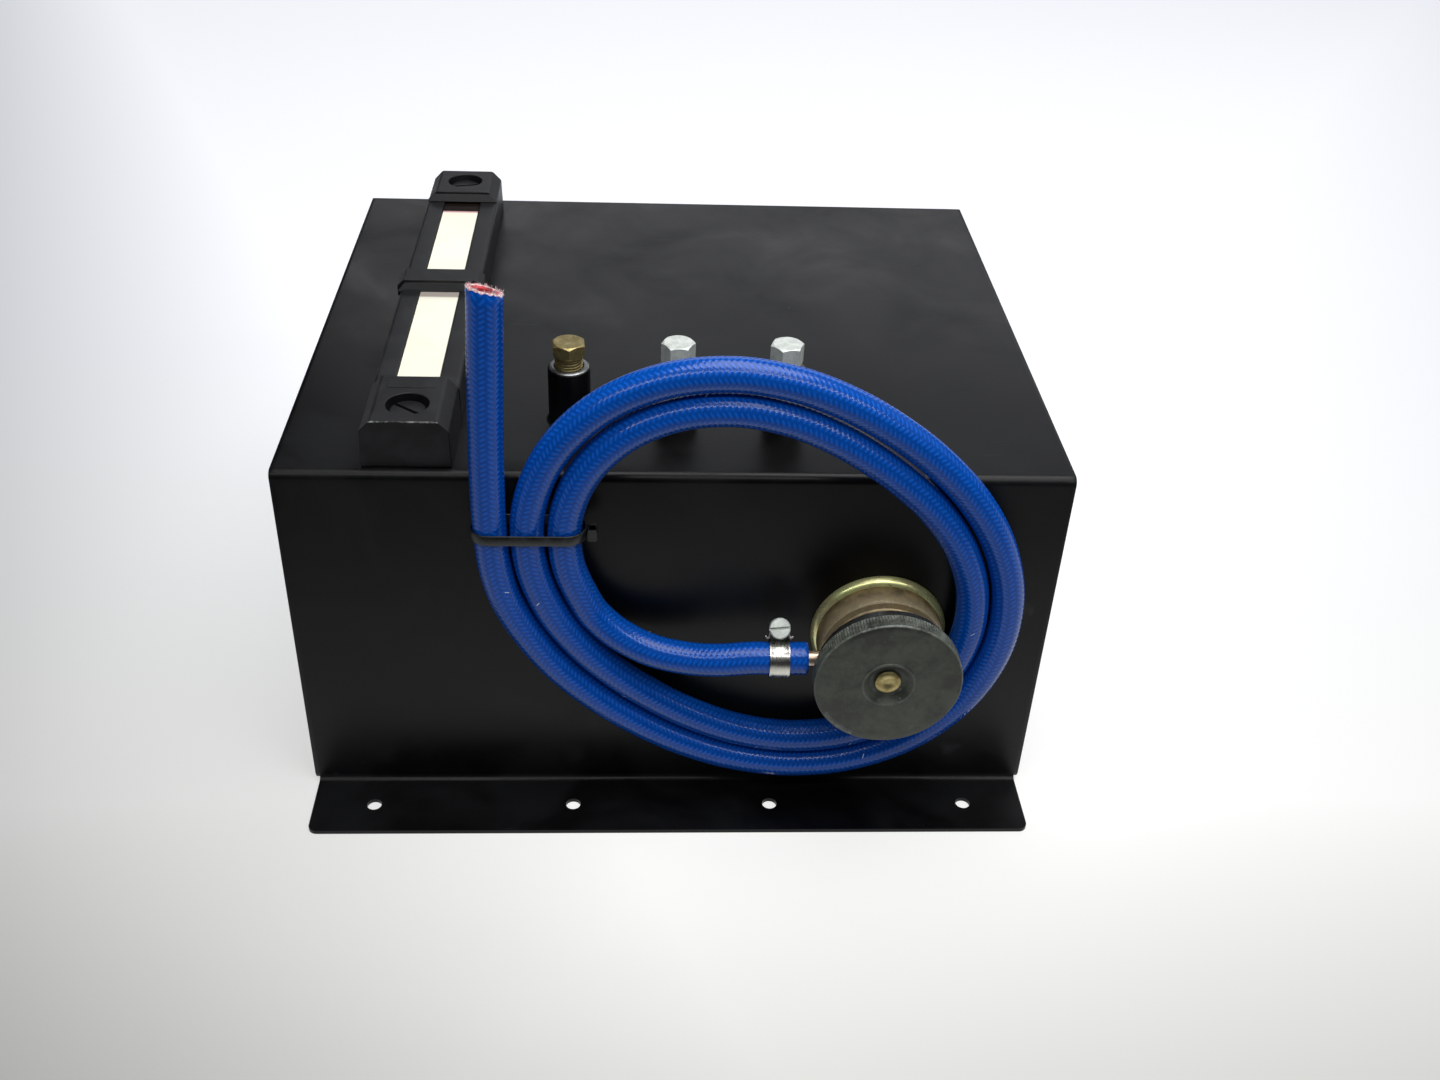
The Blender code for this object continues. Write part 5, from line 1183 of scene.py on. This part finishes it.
class RESERVOIR_OT_gauge(bpy.types.Operator):
    """Makes the level gauge: its channel, end caps, clip, window, strip and bolts"""

    bl_idname = "reservoir.gauge"
    bl_label = "Level gauge"

    def execute(self, context):
        gauge = context.scene.reservoir.gauge
        nylon = moulded_black_nylon()
        low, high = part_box("gauge_body")
        lens_low, lens_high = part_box("gauge_lens")
        front_cap, rear_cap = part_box("gauge_front_cap"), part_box("gauge_rear_cap")
        centre = (low.x + high.x) / 2
        near, far = front_cap[1].y + ROOM, rear_cap[0].y - ROOM
        window = (lens_high.x - lens_low.x) / 2 + ROOM
        half = (high.x - low.x) / 2
        base, rail, floor = low.z, high.z, low.z + 0.0037
        corners = [(centre - half, base), (centre + half, base), (centre + half, rail), (centre + window, rail)]
        corners += [(centre + window, floor), (centre - window, floor)]
        corners += [(centre - window, rail), (centre - half, rail)]
        edge = gauge.edge
        outline = rounded(corners, [0.0, 0.0, edge * 1.6, edge * 0.6, 0.0, 0.0, edge * 0.6, edge * 1.6])
        body = extruded(outline, "Y", near, far)
        tongue, thick, overlap = 0.0135, 0.0117, 0.002
        tongues = []
        for start, end in ((low.y, near + overlap), (far - overlap, high.y)):
            tongue_low, tongue_high = (centre - tongue, start, base), (centre + tongue, end, base + thick)
            tongues.append(block(tongue_low, tongue_high, 0.001, "Y"))
        body = combined(body, joined(tongues), "UNION")
        body = add_piece("gauge_channel", body, [nylon], "tank", ["gauge_body"])
        soften(body, 0.0003, 2, 50.0)

        for end, (cap_low, cap_high) in (("front", front_cap), ("rear", rear_cap)):
            self.add_cap(gauge, nylon, end, centre, half, cap_low, cap_high)
            self.add_bolt(nylon, end)
        edge_drop = 0.0013
        rear_top = rear_cap[1].z - edge_drop
        self.add_lip(nylon, "gauge_rear_lip", centre, half, rear_cap[0].y, rail + 0.0002, rear_top)

        clip_low, clip_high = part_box("gauge_clip")
        leg, seat, slant, soft = half + ROOM, rail - 0.0010, 0.0032, 0.0012
        corners = [(clip_low.x, clip_low.z), (centre - leg, clip_low.z), (centre - leg, seat)]
        corners += [(centre + leg, seat), (centre + leg, clip_low.z), (clip_high.x, clip_low.z)]
        corners += [(clip_high.x, clip_high.z - slant), (clip_high.x - slant, clip_high.z)]
        corners += [(clip_low.x + slant, clip_high.z), (clip_low.x, clip_high.z - slant)]
        outline = rounded(corners, [0.0002, 0.0, 0.0, 0.0, 0.0, 0.0002, soft, soft, soft, soft])
        clip = extruded(outline, "Y", clip_low.y, clip_high.y)
        clip = add_piece("gauge_guard", clip, [nylon], "tank", ["gauge_clip"])
        soften(clip, 0.0010, 3, 50.0)
        self.add_lip(nylon, "gauge_guard_lip", centre, leg + 0.0012, clip_low.y, seat, clip_high.z - edge_drop)

        frame["nodes"]["gauge_lens"].data.materials[0] = clear_moulded_acrylic()
        frame["nodes"]["gauge_reflector"].data.materials[0] = printed_cream_card()
        return {"FINISHED"}

    def add_cap(self, gauge, nylon, end, centre, half, low, high):
        """A moulded end cap with a deep hole over the bolt and a low pad beside the window."""
        upper, side = 0.01425, low.z + 0.0175
        corners = [(centre - half, low.z), (centre + half, low.z), (centre + half - 0.0005, side)]
        corners += [(centre + upper, high.z), (centre - upper, high.z), (centre - half + 0.0005, side)]
        outline = rounded(corners, [0.0, 0.0, 0.0016, 0.0022, 0.0022, 0.0016])
        cap = extruded(outline, "Y", low.y, high.y)
        bolt = middle(f"gauge_{end}_bolt")
        hole = rod(gauge.recess / 2, low.z, high.z + CUTTER_REACH, 72)
        cap = combined(cap, placed(hole, Matrix.Translation((bolt.x, bolt.y, 0.0))), "DIFFERENCE")
        width, depth, past_bolt = 0.0138, 0.012, 0.0123
        near, far = low.y - CUTTER_REACH, high.y + CUTTER_REACH
        if end == "front":
            near = bolt.y - past_bolt
        else:
            far = bolt.y + past_bolt
        pocket_low, pocket_high = (centre - width, near, low.z - CUTTER_REACH), (centre + width, far, low.z + depth)
        cap = combined(cap, block(pocket_low, pocket_high, 0.0005, "Y"), "DIFFERENCE")
        if end == "front":
            pad_width, pad_rise = 0.0107, 0.00025
            pad_low = (centre - pad_width, high.y - 0.0105, high.z - 0.0010)
            pad = block(pad_low, (centre + pad_width, high.y - 0.0035, high.z + pad_rise), 0.0004)
            pad = add_piece("gauge_front_pad", pad, [nylon], "tank")
            soften(pad, 0.00024, 2, 50.0)
        cap = add_piece(f"gauge_{end}_end", cap, [nylon], "tank", [f"gauge_{end}_cap"])
        soften(cap, gauge.edge, 3, 40.0)

    def add_lip(self, nylon, name, centre, half, front, base, top):
        """A lip that slopes outward under the front edge of a moulding."""
        taper, slope, sunk = 0.0035, 0.0024, 0.001
        ends = []
        for side in (-1.0, 1.0):
            short, long = centre + side * (half - taper), centre + side * half
            ends.append([(short, front, top), (long, front - slope, base)])
            ends[-1] += [(long, front + sunk, base), (short, front + sunk, top)]
        lip = add_piece(name, skin(ends), [nylon], "tank")
        soften(lip, 0.0003, 2, 50.0)

    def add_bolt(self, nylon, end):
        """A slotted bolt at the bottom of its hole."""
        low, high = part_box(f"gauge_{end}_bolt")
        spot = middle(f"gauge_{end}_bolt")
        head = high.z - 0.0077
        section = [(0.0, low.z), (0.0055, low.z), (0.006, low.z + 0.0005), (0.006, head), (0.0078, head)]
        section += [(0.008, head + 0.0002), (0.008, high.z - 0.0005), (0.0074, high.z), (0.0, high.z)]
        bolt = lathe(section, 64)
        slot = block((-0.012, -0.0008, high.z - 0.0014), (0.012, 0.0008, high.z + 0.001), 0.0001)
        turn = math.radians(-38.0 if end == "front" else 14.0)
        bolt = combined(bolt, placed(slot, Matrix.Rotation(turn, 4, "Z")), "DIFFERENCE")
        bolt = placed(bolt, Matrix.Translation((spot.x, spot.y, 0.0)))
        bolt = add_piece(f"gauge_{end}_screw", bolt, [nylon], "tank", [f"gauge_{end}_bolt"])
        soften(bolt, 0.00015, 2, 40.0)


def filler_seat():
    """From the filler's own frame, Z outward from the tank's front, to the scene."""
    spot = middle("filler_flange")
    return Matrix.Translation((spot.x, tank_front(), spot.z)) @ Matrix.Rotation(math.pi / 2, 4, "X")


class RESERVOIR_OT_filler(bpy.types.Operator):
    """Makes the ring round the filler, the neck with its cams, and the overflow spigot"""

    bl_idname = "reservoir.filler"
    bl_label = "Filler neck"

    def execute(self, context):
        seat = filler_seat()
        edge, thick = 0.0315, 0.0045
        corners = [(FILLER_BORE, ROOM), (edge, ROOM), (edge, thick), (FILLER_BORE, thick)]
        ring = lathe(rounded(corners, [0.0, 0.0001, 0.0040, 0.0004], 10), 128)
        ring = placed(ring, seat)
        add_piece("filler_ring", ring, [yellow_passivated_zinc()], "tank", ["filler_flange"])

        neck = turned(self.neck_section, 360)
        to_left = Matrix.Translation((0.0, 0.0, OVERFLOW_HEIGHT)) @ Matrix.Rotation(-math.pi / 2, 4, "Y")
        hole = placed(rod(0.0043, 0.010, 0.05, 40), to_left)
        neck = placed(combined(neck, hole, "DIFFERENCE"), seat)
        passivate = worn_brown_passivate()
        neck = add_piece("filler_collar", neck, [passivate], "tank", ["filler_neck"])
        front = tank_front()
        rubbed_from, rubbed_to = 0.0150, 0.0166
        mark_wear_and_highlights(neck, lambda point: 1.0 if rubbed_from < front - point.y < rubbed_to else 0.0)

        low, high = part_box("overflow_spigot")
        spot = middle("filler_flange")
        inner, tip = spot.x - high.x, spot.x - low.x
        spigot = [(0.0026, inner), (0.0034, inner), (0.0034, tip - 0.0080), (0.0043, tip - 0.0060)]
        spigot += [(0.0043, tip - 0.0035), (0.0036, tip - 0.0002), (0.0034, tip), (0.0026, tip)]
        spigot = placed(lathe(spigot, 48), seat @ to_left)
        add_piece("overflow_stub", spigot, [drawn_copper()], "tank", ["overflow_spigot"])
        return {"FINISHED"}

    def neck_section(self, angle):
        """The neck's section; under its rim a ramp climbs to a notch on each side."""
        ramp, ramp_length, notch, half_notch = -20.0, 88.0, 90.0, 22.0
        along = (math.degrees(angle) - ramp) % 180.0 + ramp
        rim = 0.0253 if abs(along - notch) < half_notch else 0.0286
        climbed = min(max(along - ramp, 0.0), ramp_length) if along <= notch + half_notch else 0.0
        underside = 0.0272 + 0.0020 * climbed / 90.0
        bore, wall, collar, valve_seat = 0.0210, 0.0245, 0.0292, 0.0130
        section = [(bore, -0.010), (wall, -0.010), (wall, 0.0048), (0.0286, 0.0048), (collar, 0.0054)]
        section += [(collar, 0.0150), (0.0289, 0.0160), (0.0282, 0.0165), (0.0252, 0.0165), (wall, 0.0172)]
        section += [(wall, underside), (rim - 0.0004, underside), (rim, underside + 0.0004), (rim, 0.0293)]
        section += [(rim - 0.0004, 0.0297), (bore + 0.0004, 0.0297), (bore, 0.0293)]
        section += [(bore, 0.0120), (valve_seat, 0.0120), (valve_seat, 0.0105), (bore, 0.0105)]
        return section


class RESERVOIR_OT_cap(bpy.types.Operator):
    """Makes the cap's serrated cover and the rivet in its middle"""

    bl_idname = "reservoir.cap"
    bl_label = "Filler cap"

    def execute(self, context):
        filler = context.scene.reservoir.filler
        seat = filler_seat()

        def section(angle):
            groove = filler.serration_depth * (0.5 - 0.5 * math.cos(filler.serrations * angle))
            rim = 0.0334
            points = [(0.0043, 0.0330), (0.0314, 0.0330), (0.0314, 0.0312), (rim - 0.0006, 0.0312)]
            points += [(rim - 0.0001, 0.0316), (rim, 0.0320), (rim - groove, 0.0322), (rim - groove, 0.0385)]
            points += [(rim, 0.0387), (rim - 0.0001, 0.0391), (rim - 0.0004, 0.0395), (rim - 0.0009, 0.0397)]
            points += [(0.0300, 0.0397), (0.0124, 0.0396), (0.0121, 0.0399), (0.0112, 0.0399), (0.0108, 0.0396)]
            points += [(0.0085, 0.0372), (0.0080, 0.0369), (0.0043, 0.0369)]
            return points

        cover = placed(turned(section, filler.serrations * 4), seat)
        cover = add_piece("cap_shell", cover, [moulded_grey_phenolic()], "cap", ["cap_cover"])
        spot = middle("filler_flange")
        front = tank_front()

        def rubs_and_highlights(point):
            across, up, out = point.x - spot.x, point.z - spot.z, front - point.y
            reach = math.hypot(across, up)
            # A painted highlight on the rim's outer edge, stronger at the top
            if 0.0390 < out < 0.0396 and reach > 0.0325:
                return 0.25 + 0.20 * up / reach
            # Its serrations: pale, and made paler towards the top as painted light
            if out < 0.0390 and reach > 0.0325:
                return max(0.17 + 0.12 * up / reach, 0.0)
            # A scuff on the face, low on the left
            if out > 0.0396 and reach > 0.0320 and across < 0.0 and -0.9 < up / reach < -0.5:
                return 0.5
            # A painted highlight on the raised ring, and a scuff at the foot of the hollow round the rivet
            raised_ring, hollow = out > 0.0398, out < 0.0371 and up < -0.0043 and reach < 0.0086
            return 0.16 if raised_ring or hollow else 0.0

        mark_wear_and_highlights(cover, rubs_and_highlights)

        low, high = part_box("cap_rivet")
        foot, crown = front - high.y, front - low.y
        shank = 0.0040
        rivet = [(0.0, foot), (0.0061, foot), (0.0065, foot + 0.0004), (0.0065, foot + 0.0017), (shank, foot + 0.0017)]
        rivet += [(shank, crown - 0.0014), (0.0058, crown - 0.0014), (0.0060, crown - 0.0011)]
        rivet += [(0.0057, crown - 0.0005), (0.0049, crown - 0.0001), (0.0040, crown), (0.0026, crown - 0.0001)]
        rivet += [(0.0018, crown - 0.0006), (0.0010, crown - 0.0009), (0.0, crown - 0.0009)]
        rivet = placed(lathe(rivet, 64), seat)
        add_piece("cap_centre_rivet", rivet, [aged_brass()], "cap_stem", ["cap_rivet"])
        return {"FINISHED"}


class RESERVOIR_OT_inside(bpy.types.Operator):
    """Finishes the inner pieces that are kept as they come, and winds the springs of the cap's valves"""

    bl_idname = "reservoir.inside"
    bl_label = "Inner pieces"

    def execute(self, context):
        kept = {
            stoved_black_enamel: ["base_plate"],
            turned_bare_steel: ["baffle_plate", "suction_tube", "return_tube", "cap_bayonet_cup"],
            zinc_plated_steel: ["suction_strainer", "gauge_front_nut", "gauge_rear_nut"],
            aged_brass: ["pressure_plate", "vacuum_valve"],
            heat_blued_steel: ["valve_cage"],
            moulded_seal_rubber: ["gauge_front_seal", "gauge_rear_seal", "cap_top_seal", "pressure_seal"],
        }
        for surface, names in kept.items():
            for name in names:
                frame["nodes"][name].data.materials[0] = surface()
        self.add_spring("pressure_spring", "cap_stem", "pressure_valve_lift", 4, 0.0010)
        self.add_spring("vacuum_spring", "pressure_valve", "vacuum_valve_drop", 3, 0.0004)
        return {"FINISHED"}

    def add_spring(self, name, body, joint_name, turns, wire):
        """Winds a spring where its node is."""
        low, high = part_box(name)
        spot = (low + high) / 2
        reach = (high.x - low.x) / 2 - wire
        count = turns * SPRING_STEPS
        path = []
        for step in range(count + 1):
            angle = 2 * math.pi * turns * step / count
            along = high.y - wire + (low.y - high.y + 2 * wire) * step / count
            path.append(Vector((spot.x + reach * math.cos(angle), along, spot.z + reach * math.sin(angle))))
        rings = []
        for point, (side, up) in zip(path, crossways(path)):
            rings.append(circle(point, side, up, wire, SPRING_SIDES))
        spring = add_piece(f"{name}_coil", skin(rings), [heat_blued_steel()], body, [name], 60.0)
        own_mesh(spring)


OPERATORS = (
    RESERVOIR_OT_stage,
    RESERVOIR_OT_clamp,
    RESERVOIR_OT_tie,
    RESERVOIR_OT_hose,
    RESERVOIR_OT_tank,
    RESERVOIR_OT_ports,
    RESERVOIR_OT_gauge,
    RESERVOIR_OT_filler,
    RESERVOIR_OT_cap,
    RESERVOIR_OT_inside,
)


class RESERVOIR_PT_panel(bpy.types.Panel):
    """Lists the reservoir's operators"""

    bl_label = "Hydraulic Reservoir"
    bl_space_type = "VIEW_3D"
    bl_region_type = "UI"
    bl_category = "Reservoir"

    def draw(self, context):
        for operator in OPERATORS:
            self.layout.operator(operator.bl_idname)


SETTINGS = (TankSettings, GaugeSettings, FillerSettings, HoseSettings, StageSettings, ReservoirSettings)


def register():
    for made in (*SETTINGS, *OPERATORS, RESERVOIR_PT_panel):
        bpy.utils.register_class(made)
    bpy.types.Scene.reservoir = PointerProperty(type=ReservoirSettings)


def unregister():
    del bpy.types.Scene.reservoir
    for made in reversed((*SETTINGS, *OPERATORS, RESERVOIR_PT_panel)):
        bpy.utils.unregister_class(made)


def main():
    """Makes every piece in order."""
    register()
    bpy.ops.reservoir.stage()
    bpy.ops.reservoir.clamp()
    bpy.ops.reservoir.tie()
    bpy.ops.reservoir.hose()
    bpy.ops.reservoir.tank()
    bpy.ops.reservoir.ports()
    bpy.ops.reservoir.gauge()
    bpy.ops.reservoir.filler()
    bpy.ops.reservoir.cap()
    bpy.ops.reservoir.inside()


if __name__ == "__main__":
    main()
